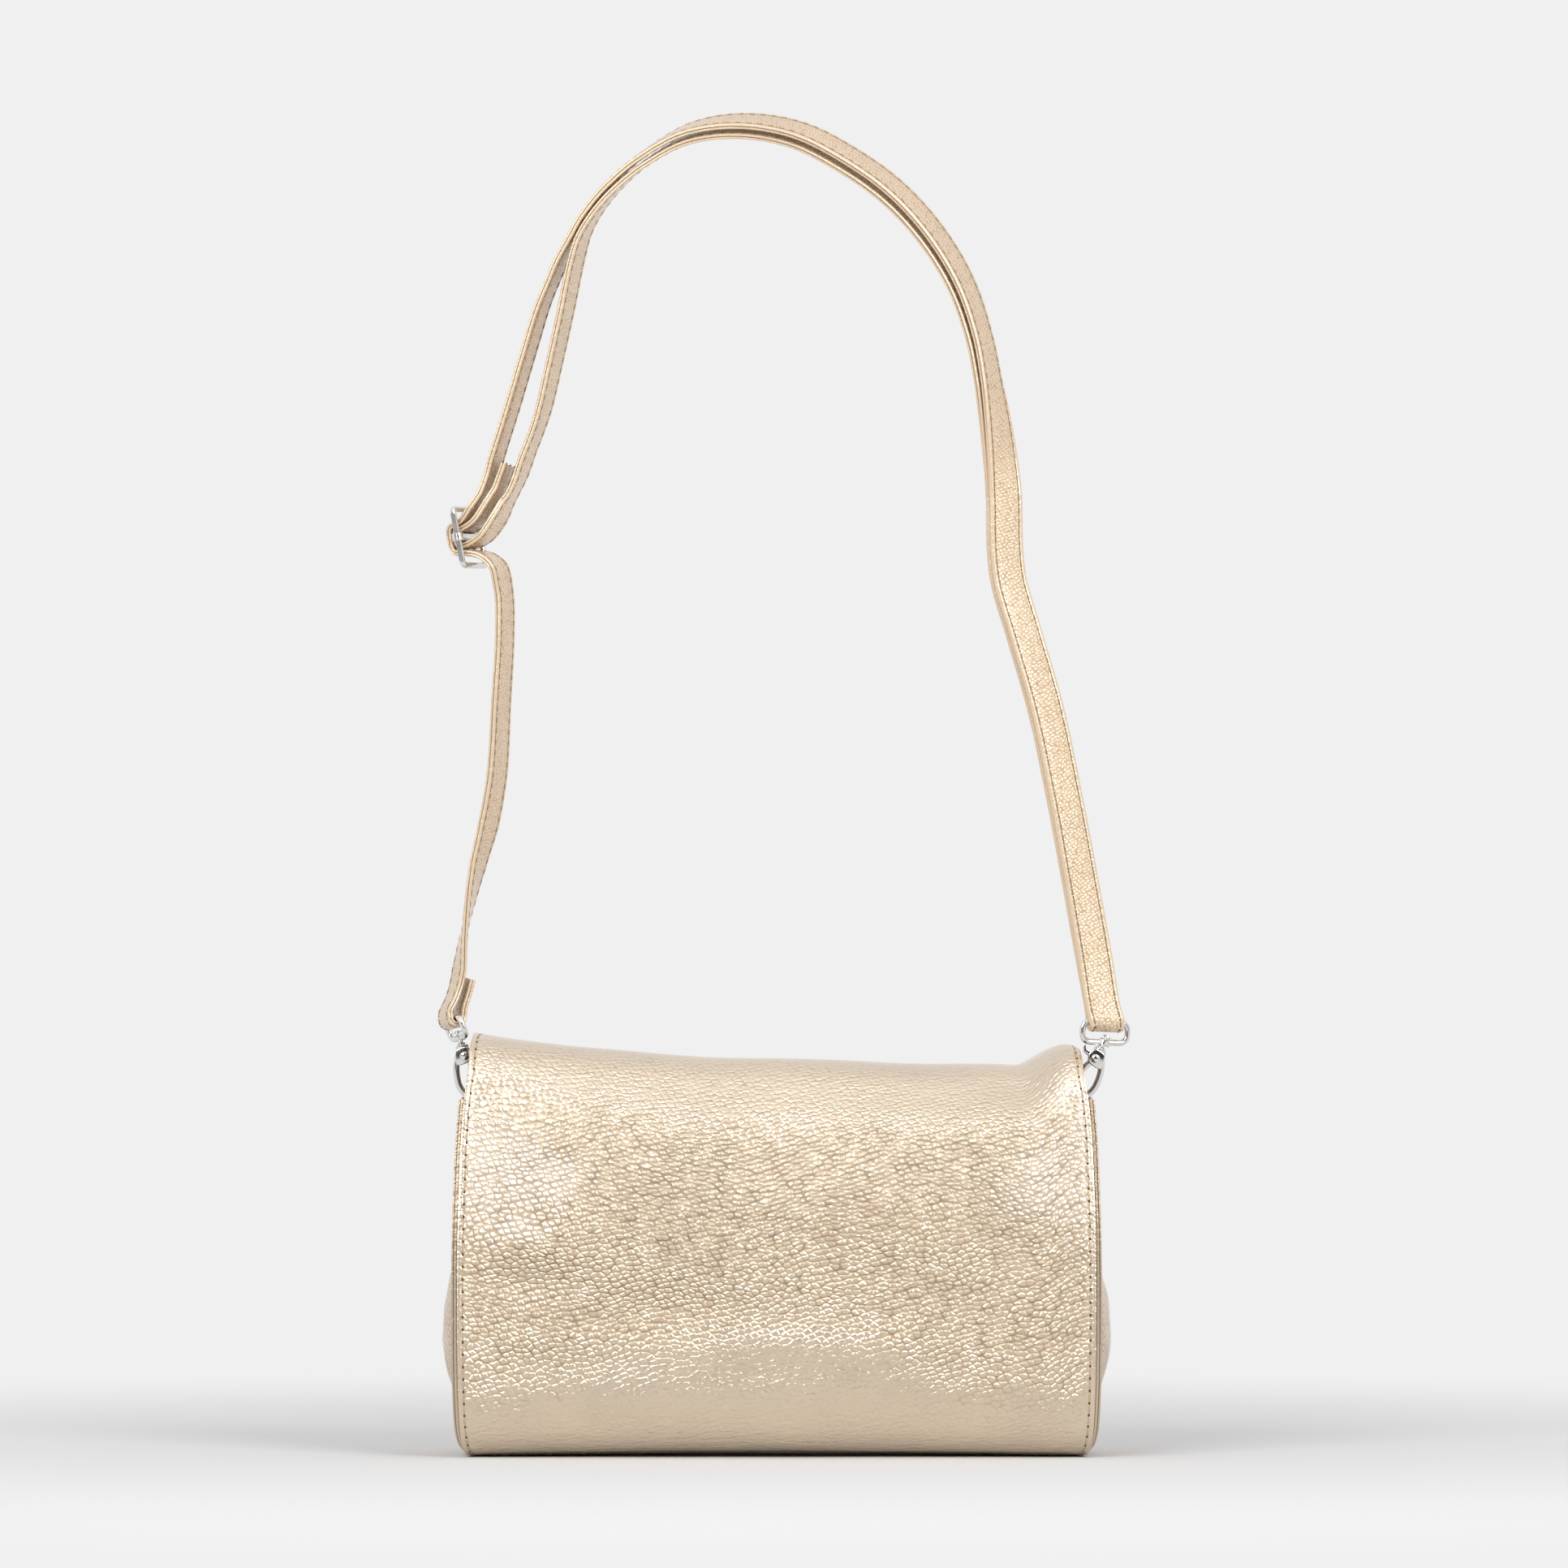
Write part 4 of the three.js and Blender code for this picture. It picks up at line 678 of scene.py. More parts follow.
SNAP_LEAN = 0.075  # the panel's slope at that height, in radians
SOCKET_PROFILE = [(2.9, 0.0), (2.9, 1.3), (3.2, 1.6), (5.9, 1.6), (6.7, 1.3), (7.0, 0.7), (7.0, 0.0)]
STUD_PROFILE = [(0.0, -0.8), (1.4, -0.8), (2.0, -0.5), (2.0, 0.0), (6.0, 0.0), (6.8, 0.25), (7.0, 0.6), (7.0, 1.0),
                (0.0, 1.0)]
STUD_OUT, STUD_UP = 2.1, 0.15  # the stud's place from the socket when the flap is shut


def bright_metal(name, colour, roughness):
    """Polished plated metal with faint rubbing marks."""
    material, make = new_material(name)
    place = make.add("TexCoord").outputs["Object"]
    stretched = make.add("Mapping", {"Vector": place, "Scale": (1.0, 1.0, 0.15)}).outputs[0]
    rubs = make.noise(stretched, 2600.0, 3.0)
    clouds = make.noise(place, 240.0, 2.0)
    mixed = make.calc("MULTIPLY_ADD", rubs, 0.5, make.calc("MULTIPLY", clouds, 0.5))
    tint = make.ramp(clouds, [(0.3, tuple(0.93 * c for c in colour)), (0.7, colour)])
    make.surface({"Base Color": tint, "Roughness": make.spread(mixed, 0.3, 0.7, roughness * 0.7, roughness * 1.5),
                  "Normal": make.bump(0.15, 0.03, rubs), "Metallic": 1.0})
    return material


nickel = (bright_metal("bright_nickel", (0.80, 0.79, 0.765), 0.14), "bright_nickel")
spring_steel = (bright_metal("spring_steel", (0.56, 0.56, 0.555), 0.3), "spring_steel")
for washer in ("socket_washer", "stud_washer"):
    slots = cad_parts[washer].data.materials
    slots.clear()
    slots.append(spring_steel[0])


def face_out(piece):
    """Turns the faces of a closed mesh outwards."""
    mesh = piece.data
    mesh.calc_loop_triangles()
    volume = 0.0
    for triangle in mesh.loop_triangles:
        a, b, c = (mesh.vertices[k].co for k in triangle.vertices)
        volume += a.dot(b.cross(c))
    if volume < 0:
        mesh.flip_normals()
    return piece


def turned(name, profile, place, sides=40):
    """A turned metal part: an outline of radius and height, spun about its own axis."""
    points = []
    for r, h in profile:
        for angle in (2 * math.pi * k / sides for k in range(sides)):
            points.append(place @ Vector((max(r, 1e-3) * math.cos(angle), max(r, 1e-3) * math.sin(angle), h)))
    faces = tube_faces(len(profile), sides, closed=profile[0][0] > 0)
    return settle(face_out(mesh_object(name, points, faces)), crisp=35)


snap_lean = Matrix.Rotation(math.radians(-90) + SNAP_LEAN, 4, "X")
socket = turned("snap_socket_cup", SOCKET_PROFILE, Matrix.Translation((0, SOCKET_FACE, SNAP_HEIGHT)) @ snap_lean)
finish_piece(socket, nickel, "bag", "snap_socket")
stud_place = Matrix.Translation((0, SOCKET_FACE + STUD_OUT, SNAP_HEIGHT + STUD_UP))
stud = turned("snap_stud_disc", STUD_PROFILE, stud_place @ snap_lean)
finish_piece(stud, nickel, "flap", "snap_stud")


# Ring tabs and D-rings: a short strap of leatherette folded round the bar of each nickel D-ring
# and sewn flat to the top of the gusset.
RING_PLACE = 119.42
RING_BAR = 133.0
RING_HALF = 8.7
RING_SIDE = 3.3
RING_CORNER = 1.6
RING_TOP = RING_BAR + RING_SIDE + RING_HALF
WIRE_RADIUS = 1.2
TAB_HALF = 6.5
TAB_PLY = 1.45
TAB_INSET = 1.6  # stitch line, in from the tab's edge
TAB_FACE = 0.78
TAB_SEWN = (-19, -5)  # lowest and highest stitch, from the ring's bar
TAB_PITCH, TAB_STITCH = 3.4, 2.8
TAB_FOLD = [(-0.76, -20), (-0.76, -12), (-0.8, -5), (-1.5, -2.4), (-2.24, -0.6), (-1.9, 1.3), (-0.9, 2.1), (0, 2.28),
            (0.9, 2.1), (1.9, 1.3), (2.24, -0.6), (1.5, -2.4), (0.8, -5), (0.76, -12), (0.76, -20)]


def arc(cx, cy, radius, start, end, steps):
    angles = np.radians(np.linspace(start, end, steps))
    return [(cx + radius * math.cos(a), cy + radius * math.sin(a)) for a in angles]


def round_wire(name, path, radius, closed=True, sides=18):
    """Round wire bent along a line of points."""
    path = np.asarray(path, float)
    count = len(path)
    ahead = np.roll(path, -1, 0) - np.roll(path, 1, 0)
    if not closed:
        ahead[0], ahead[-1] = path[1] - path[0], path[-1] - path[-2]
    ahead = unit(ahead)
    side = np.cross(ahead[0], (0.31, 0.52, 0.79))
    turns = np.linspace(0, 2 * math.pi, sides, endpoint=False)
    radius = np.broadcast_to(radius, count)
    rings = []
    for k in range(count):
        side = unit(side - ahead[k] * side.dot(ahead[k]))
        up = np.cross(ahead[k], side)
        rings.append([path[k] + radius[k] * (math.cos(a) * side + math.sin(a) * up) for a in turns])
    if closed:
        first = np.array(rings[0])
        twist = int(np.argmin([np.linalg.norm(np.roll(first, -s, 0) - rings[-1]) for s in range(sides)]))
        steps = [round(twist * k / count) for k in range(count)]
        rings = [np.roll(ring, steps[k], 0) for k, ring in enumerate(rings)]
    faces = tube_faces(count, sides, closed)
    return settle(face_out(mesh_object(name, np.concatenate(rings), faces)), crisp=60)


ring_path = arc(RING_HALF - RING_CORNER, RING_CORNER, RING_CORNER, -90, 0, 8)
ring_path += arc(0, RING_SIDE, RING_HALF, 0, 180, 40)
ring_path += arc(-RING_HALF + RING_CORNER, RING_CORNER, RING_CORNER, 180, 270, 8)
ring_path += [(y, 0.0) for y in np.linspace(-RING_HALF + RING_CORNER, RING_HALF - RING_CORNER, 12)[1:-1]]
for side, sign in ENDS:
    ring = round_wire(f"{side}_ring_wire", [(sign * RING_PLACE, y, RING_BAR + z) for y, z in ring_path], WIRE_RADIUS)
    finish_piece(ring, nickel, f"{side}_ring", f"{side}_d_ring")
    strip = np.array([[(sign * (RING_PLACE + q), y, RING_BAR + p) for y in np.linspace(-TAB_HALF, TAB_HALF, 14)]
                      for q, p in curve_through(TAB_FOLD, 60)])
    sheet_piece(f"{side}_tab_strip", strip, TAB_PLY, 0.35, 0, leatherette, f"{side}_ring_tab", grain=0.6)
    for edge, way in ((-1, "rear"), (1, "front")):
        path = np.array([(sign * (RING_PLACE + TAB_FACE + TAB_PLY / 2), edge * (TAB_HALF - TAB_INSET), RING_BAR + z)
                         for z in np.linspace(*TAB_SEWN, 8)])
        out = np.tile((sign, 0.0, 0.0), (8, 1))
        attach(stitch_row(f"{side}_tab_stitching_{way}", path, out, TAB_PITCH, TAB_STITCH), "bag")


# Swivel hooks: die-cast nickel. Each has a bent bow, a forked head with a sprung gate riveted
# between its ears, and a post that goes up through the boss of the eye and is riveted over.
SIDES = {
    "left": {"sign": -1, "lean": 16, "eye_turn": -22, "eye_lean": 20},
    "right": {"sign": 1, "lean": 29, "eye_turn": 75, "eye_lean": 3},
}
HOOK_BOTTOM = -3.4
HOOK_WIRE = 1.3
HEAD_HALF = 2.9
SLOT_HALF = 1.7
PIVOT = 12.5
GATE_LOW, GATE_HIGH = -1.4, 0.2
RIVET = 0.8
RIVET_GAP = 0.15
BACK_INSET = 0.2
POST_PROFILE = [(0.0, 15.0), (2.2, 15.2), (2.6, 15.6), (2.6, 16.5), (2.2, 16.9), (1.7, 17.1), (1.7, 17.5), (1.3, 17.7),
                (0.95, 17.8), (0.95, 21.9), (1.7, 21.9), (1.9, 22.1), (1.75, 22.5), (1.0, 22.7), (0.0, 22.75)]
BOW = [(2.6, 13.0), (4.2, 9.4), (5.1, 5.4), (5.2, 1.6), (3.75, -1.87), (0, HOOK_BOTTOM), (-3.75, -1.87), (-5.2, 1.6),
       (-5.2, 4.5)]
HEAD = [(-3.1, 12.5), (-2.75, 14.6), (-1.6, 15.9), (1.6, 15.9), (2.9, 14.8), (3.7, 12.5), (3.8, 10.2), (2.6, 9.4),
        (0.4, 9.5), (-1.9, 10.1)]
BACK = HEAD[3:8] + [(2.3, 10.4), (2.55, 12.5), (1.6, 14.8)]
BRIDGE = [(-2.5, 15.0), *HEAD[2:5], (2.0, 15.05)]
GATE_ARM = [(-2.1, 11.9), (-3.1, 8.0), (-3.6, 4.8), (-3.6, 3.6), (-2.6, 3.3), (-1.7, 3.8), (-0.9, 7.0), (0.4, 10.5),
            (2.0, 11.6), (2.2, 12.8), (1.5, 14.1), (0.2, 14.7), (-1.2, 14.3), (-4.6, 14.1), (-6.2, 15.6), (-6.6, 15.2),
            (-5.6, 12.9), (-3.4, 12.1)]
SPRING_RADIUS = 1.45
SPRING_WIRE = 0.2
SPRING_GAP = 0.15
SPRING_TURNS = 1.5
SPRING_PITCH = 0.55
SPRING_LEG = 2.3
EYE_ON_POST = 19.8


def hook_frame(side):
    """Where a hook's own upright frame sits: its origin is at the top of the D-ring's bow."""
    turn = Matrix.Rotation(math.pi if side["sign"] < 0 else 0, 4, "Z")
    lean = Matrix.Rotation(math.radians(side["lean"]), 4, "Y")
    return Matrix.Translation((side["sign"] * RING_PLACE, 0, RING_TOP)) @ turn @ lean


def cast_plate(name, outline, low, high, rounding, smooth=0):
    """A flat casting from its outline, rounded along every edge."""
    if smooth:
        outline = curve_through(outline, smooth, closed=True)
    count = len(outline)
    points = [(u, y, v) for y in (low, high) for u, v in outline]
    faces = [tuple(range(count)), tuple(range(2 * count - 1, count - 1, -1))]
    faces += [(k, k + count, (k + 1) % count + count, (k + 1) % count) for k in range(count)]
    piece = face_out(mesh_object(name, points, faces))
    round_edges(piece, rounding, 50)
    return settle(piece, crisp=40)


def melt_together(name, pieces, cutters=()):
    """One solid casting from overlapping pieces, less the cutters."""
    whole = pieces[0]
    whole.name = name
    for operation, tools in (("UNION", pieces[1:]), ("DIFFERENCE", cutters)):
        for tool in tools:
            joint = whole.modifiers.new(operation, "BOOLEAN")
            joint.operation = operation
            joint.object = tool
            joint.solver = "EXACT"
    settle(whole, crisp=38)
    for tool in list(pieces[1:]) + list(cutters):
        bpy.data.objects.remove(tool)
    return whole


def place_piece(piece, matrix):
    """Moves a piece drawn in millimetres about the origin to its place on the bag."""
    real = matrix.copy()
    real.translation = matrix.translation * MM
    piece.data.transform(real)
    return piece


across_head = Matrix.Translation((0, 0, PIVOT)) @ Matrix.Rotation(math.radians(-90), 4, "X")
for name, side in SIDES.items():
    matrix = hook_frame(side)
    bow_line = curve_through([(u, 0, v) for u, v in BOW], 60)
    taper = HOOK_WIRE * (1 - 0.25 * np.clip(np.linspace(-9, 1, 60), 0, 1) ** 3)
    bow = round_wire(f"{name}_bow", bow_line, taper, closed=False)
    cheeks = [cast_plate(f"{name}_cheek", HEAD, low, high, 0.35, 44)
              for low, high in ((-HEAD_HALF, -SLOT_HALF), (SLOT_HALF, HEAD_HALF))]
    back = cast_plate(f"{name}_back", BACK, -HEAD_HALF + BACK_INSET, HEAD_HALF - BACK_INSET, 0.2)
    bridge = cast_plate(f"{name}_bridge", BRIDGE, -HEAD_HALF + BACK_INSET, HEAD_HALF - BACK_INSET, 0.2)
    post = turned(f"{name}_post", POST_PROFILE, Matrix.Identity(4), 32)
    body = melt_together(f"{name}_hook_casting", [back, bridge, *cheeks, post, bow])
    gate = cast_plate(f"{name}_gate_lever", GATE_ARM, GATE_LOW, GATE_HIGH, 0.3, 72)
    heads = HEAD_HALF + RIVET_GAP
    profile = [(0.0, -heads - 0.62), (0.9, -heads - 0.55), (1.5, -heads - 0.35), (1.8, -heads), (RIVET, -heads),
               (RIVET, heads), (1.8, heads), (1.5, heads + 0.35), (0.9, heads + 0.55), (0.0, heads + 0.62)]
    rivet = turned(f"{name}_rivet_pin", profile, across_head, 28)
    first = GATE_HIGH + SPRING_GAP + SPRING_WIRE
    last = first + SPRING_TURNS * SPRING_PITCH
    coil = [(SPRING_RADIUS, first, PIVOT - SPRING_LEG * s) for s in (1, 0.75, 0.5, 0.25)]
    for s in np.linspace(0, SPRING_TURNS, 55):
        angle = 2 * math.pi * s
        coil.append((SPRING_RADIUS * math.cos(angle), first + s * SPRING_PITCH,
                     PIVOT + SPRING_RADIUS * math.sin(angle)))
    coil += [(-SPRING_RADIUS, last, PIVOT - SPRING_LEG * s) for s in (0.25, 0.5, 0.75, 1)]
    spring = round_wire(f"{name}_spring_wire", coil, SPRING_WIRE, closed=False, sides=8)
    for piece, finish, carrier, node in ((body, nickel, "hook", "hook_body"), (gate, nickel, "gate", "gate"),
                                         (rivet, nickel, "hook", "gate_rivet"),
                                         (spring, spring_steel, "hook", "gate_spring")):
        finish_piece(place_piece(piece, matrix), finish, f"{name}_{carrier}", f"{name}_{node}")


# Swivel eyes: an oval of nickel wire at each end of the strap. Its lower bar widens into a drilled
# boss that turns on the hook's post.
EYE_HALF_WIDTH = 9.2
EYE_HALF_HEIGHT = 4.05
EYE_CORNER = 3.2
BOSS_PROFILE = [(1.3, -1.2), (1.3, 1.2), (2.1, 1.2), (2.5, 0.8), (2.5, -0.8), (2.1, -1.2)]
DRILL_PROFILE = [(0.0, 16.0), (1.3, 16.0), (1.3, 24.0), (0.0, 24.0)]


def eye_frame(side):
    """The eye's upward way, the way of its long bars, its middle and the middle of its upper bar."""
    lean, turn = math.radians(side["eye_lean"]), math.radians(side["eye_turn"])
    up = np.array((side["sign"] * math.sin(lean), 0, math.cos(lean)))
    wide = np.array((math.sin(turn), math.cos(turn), 0))
    wide = unit(wide - up * wide.dot(up))
    post = np.array(hook_frame(side) @ Vector((0, 0, EYE_ON_POST)))
    middle = post + up * EYE_HALF_HEIGHT
    return up, wide, middle, middle + up * EYE_HALF_HEIGHT


a, b, r = EYE_HALF_WIDTH, EYE_HALF_HEIGHT, EYE_CORNER
oval = arc(a - r, r - b, r, -90, 0, 12) + arc(a - r, b - r, r, 0, 90, 12)
oval += [(x, b) for x in np.linspace(a - r, r - a, 14)[1:-1]]
oval += arc(r - a, b - r, r, 90, 180, 12) + arc(r - a, r - b, r, 180, 270, 12)
oval += [(x, -b) for x in np.linspace(r - a, a - r, 14)[1:-1]]
for name, side in SIDES.items():
    up, wide, middle, bar = eye_frame(side)
    loop = round_wire(f"{name}_eye_wire", [middle + wide * p + up * q for p, q in oval], WIRE_RADIUS)
    boss = turned(f"{name}_boss", BOSS_PROFILE, Matrix.Translation((0, 0, EYE_ON_POST)))
    drill = turned(f"{name}_drill", DRILL_PROFILE, Matrix.Identity(4), 28)
    for part in (boss, drill):
        place_piece(part, hook_frame(side))
    eye = melt_together(f"{name}_eye_loop", [loop, boss], [drill])
    finish_piece(eye, nickel, "strap", f"{name}_swivel_eye")


# Slider: a nickel wire frame with a flat bar across its middle. The bar's ends are clamped
# round the frame's sides, and the strap goes round the bar.
SLIDER_PLACE = np.array((-121.02, 0.0, 361.0))
SLIDER_LEAN = math.radians(12)
SLIDER_TURN = math.radians(26)
SLIDER_ALONG = np.array((math.sin(SLIDER_TURN), math.cos(SLIDER_TURN), 0))
SLIDER_UP = np.array((-math.sin(SLIDER_LEAN) * math.cos(SLIDER_TURN), math.sin(SLIDER_LEAN) * math.sin(SLIDER_TURN),
                      math.cos(SLIDER_LEAN)))
SLIDER_OUT = np.cross(SLIDER_ALONG, SLIDER_UP)
SLIDER_HALF_WIDE = 9.7  # to the middle of the frame's wire
SLIDER_HALF_TALL = 11.3
SLIDER_CORNER = 2.2
BAR_HALF = 8.2
BAR_HALF_T = 0.9
BAR_HALF_TALL = 1.6
CLAMP_RADIUS = 2.25

slider_matrix = Matrix(np.column_stack([SLIDER_ALONG, -SLIDER_OUT, SLIDER_UP]).tolist()).to_4x4()
slider_matrix.translation = SLIDER_PLACE
a, b, r = SLIDER_HALF_WIDE, SLIDER_HALF_TALL, SLIDER_CORNER
frame_line = []
for cx, cy, start in ((a - r, r - b, -90), (a - r, b - r, 0), (r - a, b - r, 90), (r - a, r - b, 180)):
    corner = arc(cx, cy, r, start, start + 90, 9)
    if frame_line:
        last = frame_line[-1]
        frame_line += [tuple(np.array(last) + (np.array(corner[0]) - last) * t) for t in np.linspace(0, 1, 8)[1:-1]]
    frame_line += corner
slider = round_wire("slider_wire", [(x, 0.0, z) for x, z in frame_line], WIRE_RADIUS)
pressed_side = (SLIDER_HALF_WIDE + 0.6 * WIRE_RADIUS) * MM
for vertex in slider.data.vertices:
    vertex.co.x = max(-pressed_side, min(pressed_side, vertex.co.x))
settle(slider, crisp=28)
finish_piece(place_piece(slider, slider_matrix), nickel, "strap", "slider_frame")
bar_outline = [(x * BAR_HALF, z * BAR_HALF_TALL) for x, z in ((-1, -1), (1, -1), (1, 1), (-1, 1))]
flat_bar = cast_plate("slider_flat_bar", bar_outline, -BAR_HALF_T, BAR_HALF_T, 0.5)
clamp_profile = [(1.35, -1.6), (1.35, 1.6), (1.9, 1.6), (CLAMP_RADIUS, 1.3), (CLAMP_RADIUS, -1.3), (1.9, -1.6)]
clamps = [turned("slider_clamp", clamp_profile, Matrix.Translation((end * SLIDER_HALF_WIDE, 0, 0))) for end in (-1, 1)]
flat_bar = melt_together("slider_cross_bar", [flat_bar, *clamps])
finish_piece(place_piece(flat_bar, slider_matrix), nickel, "strap", "slider_bar")


# Strap: two plies of leatherette glued back to back and stitched along both edges, so its edge shows
# a groove, darkened with painted shade. It is sewn round the left eye, goes up over the slider's bar, over the arch and
# round the right eye, and comes back to end sewn round the same bar.
STRAP_T = 2.5
STRAND_GAP = 0.5
ARCH_SPREAD, ARCH_STATIONS = 0.5, 12  # the strands part a little over the arch
LOOP_GAP = 0.35
ARCH = (0.42, 0.86, 0.36)
SIDE_ON = (0.9, 0.42, 0.0)
STRAP_STEP = 1.3  # length of one facet along the strap
# One quarter of the strap's section: across, then out from its middle.
STRAP_QUARTER = [(0.0, 1.27), (2.4, 1.27), (4.3, 1.24), (4.8, 1.1), (5.15, 1.0), (5.5, 1.1), (6.0, 1.22), (6.5, 1.08),
                 (6.88, 0.8), (7.0, 0.55), (6.94, 0.3), (6.4, 0.06)]
STITCH_ACROSS, STITCH_OUT = 5.15, 1.0  # where the stitch furrow lies in that section
EDGE_PITCH, EDGE_STITCH = 4.3, 3.5


def yaw(degrees):
    return (math.sin(math.radians(degrees)), math.cos(math.radians(degrees)), 0.0)


def stations(wide, *places):
    """Places on the strap's route as x, z and if need be y, with the way that its width lies there."""
    return [(np.array((x, y[0] if y else 0.0, z)), np.array(wide)) for x, z, *y in places]


def eye_stations(side, places):
    """Places round the upper bar of an eye."""
    up, wide, middle, bar = eye_frame(side)
    out = unit(np.cross(wide, up))
    if out[0] * side["sign"] < 0:
        out = -out
    return [(bar + out * q + up * p, wide) for q, p in places]


def slider_stations(places):
    """Places round the slider's bar."""
    return [(SLIDER_PLACE + SLIDER_OUT * q + SLIDER_UP * p, SLIDER_ALONG) for q, p in places]


loop_radius = WIRE_RADIUS + LOOP_GAP + STRAP_T / 2
pair = STRAP_T + STRAND_GAP


def on_bar(angles):
    """Places on the strap's bend round a wire, out and up from the wire's middle."""
    return [(loop_radius * math.cos(math.radians(d)), loop_radius * math.sin(math.radians(d))) for d in angles]


left_wide = eye_frame(SIDES["left"])[1]
left_loop = stations(left_wide, (-121.2, 187.4, 1.2), (-122.9, 181, 1.2), (-124.5, 175.7, 1.1))
left_loop += eye_stations(SIDES["left"], on_bar((195, 225, 270, 315, 350)))
left_loop += stations(left_wide, (-130.2, 174.2, -0.6), (-128.0, 179, -0.3), (-126.2, 184.4), (-124.9, 191))
single_run = []
for x, z, turn in (
    (-123.6, 200.7, -9), (-120.9, 216.6, 8), (-117.6, 232, 22), (-113.4, 248, 30), (-110, 268, 29), (-108.4, 296, 27),
    (-107, 322, 26), (-107.4, 340, 26)):
    single_run += stations(yaw(turn), (x, z))
single_run += stations(SLIDER_ALONG, (-110, 350, -3), (-114.4, 353.8, -2.6))
inner_q = BAR_HALF_T + LOOP_GAP + STRAP_T / 2
inner_p = BAR_HALF_TALL + LOOP_GAP + STRAP_T / 2
outer_q, outer_p = inner_q + pair, inner_p + pair
over_bar = slider_stations([(0, -outer_p), (-outer_q * 0.84, -outer_p * 0.78), (-outer_q, 0),
                            (-outer_q * 0.84, outer_p * 0.78), (0, outer_p)])
left_outer = stations(SLIDER_ALONG, (-119, 371.3, -0.9)) + stations(
    ARCH, (-115.8, 377, -0.6), (-112.4, 385), (-109.8, 394), (-104.2, 412), (-98.4, 431.6), (-92.2, 452),
    (-87.6, 463.4), (-84.2, 471.4), (-80, 479.3))
doubled = stations(
    ARCH,
    (-73.2, 488.2), (-65, 498.6), (-52, 510), (-34, 520), (-14, 523), (8, 519.5), (28, 509.5), (46, 496.5), (61, 480),
    (72.5, 461), (79.5, 441))
doubled += stations((0.5, 0.8, 0.2), (83.6, 421)) + stations((0.75, 0.66, 0.08), (87, 400))
doubled += stations(SIDE_ON, (89.4, 378), (89.8, 358), (91.3, 344), (97.4, 323), (106, 293), (113.4, 258))
doubled += stations(yaw(68), (119.4, 226)) + stations(yaw(72), (124.8, 196))


def strand(shift):
    """One of the two strands that lie together over the arch."""
    moved = []
    for k, (at, wide) in enumerate(doubled):
        before, after = doubled[max(0, k - 1)][0], doubled[min(len(doubled) - 1, k + 1)][0]
        apart = 1 + ARCH_SPREAD * math.sin(math.pi * min(1, k / ARCH_STATIONS)) ** 2
        moved.append((at + unit(np.cross(wide, unit(after - before))) * shift * apart, wide))
    return moved


right_wide = eye_frame(SIDES["right"])[1]
right_loop = stations(right_wide, (128.5, 175.8, -2.5))
right_loop += eye_stations(SIDES["right"], on_bar((345, 315, 270, 225, 195)))
right_loop += stations(right_wide, (128.1, 175.8, 2.5))
left_inner = stations(
    ARCH,
    (-76.1, 479.6), (-78.6, 471.2), (-80.4, 463), (-83, 450), (-87.4, 430), (-92.4, 409), (-98.2, 393), (-101.4, 384),
    (-105.6, 375.4))
left_inner += stations(SLIDER_ALONG, (-110, 367.4, -2.5), (-114.8, 361, -2.4))
sewn_end = slider_stations([(0, -inner_p), (-inner_q * 0.9, -inner_p * 0.82), (-inner_q, 0),
                            (-inner_q * 0.9, inner_p * 0.82), (0, inner_p)])
sewn_end += stations(SLIDER_ALONG, (-117, 367.2, -1.6), (-113, 372.6, -1.4))
sewn_end += stations(ARCH, (-109.6, 379), (-105.6, 389.5))
route = left_loop + single_run + over_bar + left_outer + strand(-pair / 2) + right_loop
route += strand(pair / 2)[::-1] + left_inner + sewn_end


def between(s, start, end, a, b):
    """The point at a place s between two knots, from the points that belong to them."""
    return (end - s) / (end - start) * a + (s - start) / (end - start) * b


def centripetal(points, wides, step):
    """A smooth line through the strap's stations that doesn't overshoot where they crowd together."""
    ends = np.vstack([2 * points[0] - points[1], points, 2 * points[-1] - points[-2]])
    line, turns = [], []
    for k in range(1, len(ends) - 2):
        p = ends[k - 1:k + 3]
        gaps = np.sqrt(np.linalg.norm(np.diff(p, axis=0), axis=1))
        t = np.concatenate([[0], np.cumsum(gaps)])
        count = max(4, int(gaps[1] ** 2 / step))
        for share in np.linspace(0, 1, count, endpoint=False):
            s = t[1] + (t[2] - t[1]) * share
            a = [between(s, t[j], t[j + 1], p[j], p[j + 1]) for j in range(3)]
            b = [between(s, t[j], t[j + 2], a[j], a[j + 1]) for j in range(2)]
            line.append(between(s, t[1], t[2], b[0], b[1]))
            turns.append(wides[k - 1] * (1 - share) + wides[k] * share)
    return np.array(line + [points[-1]]), np.array(turns + [wides[-1]])


def strap_grain_and_painted_shade(w, f):
    """Grain at one place of the section: pebbled faces, and painted shade in the edge groove and the stitch furrows."""
    if abs(w) < 4.5:
        return 0.85
    if abs(f) < 0.1:
        return -0.2
    return -0.06 if abs(f) == STITCH_OUT else 0.1


strap_line, strap_wide = centripetal(*(np.array(part) for part in zip(*route)), STRAP_STEP)
strap_ahead = unit(np.gradient(strap_line, axis=0))
strap_wide = unit(strap_wide - strap_ahead * (strap_wide * strap_ahead).sum(1)[:, None])
strap_face = np.cross(strap_wide, strap_ahead)
section = STRAP_QUARTER + [(w, -f) for w, f in STRAP_QUARTER[::-1]]
section += [(-w, -f) for w, f in STRAP_QUARTER[1:]] + [(-w, f) for w, f in STRAP_QUARTER[:0:-1]]
strap_grid = np.stack([strap_line + strap_wide * w + strap_face * f for w, f in section], 1)
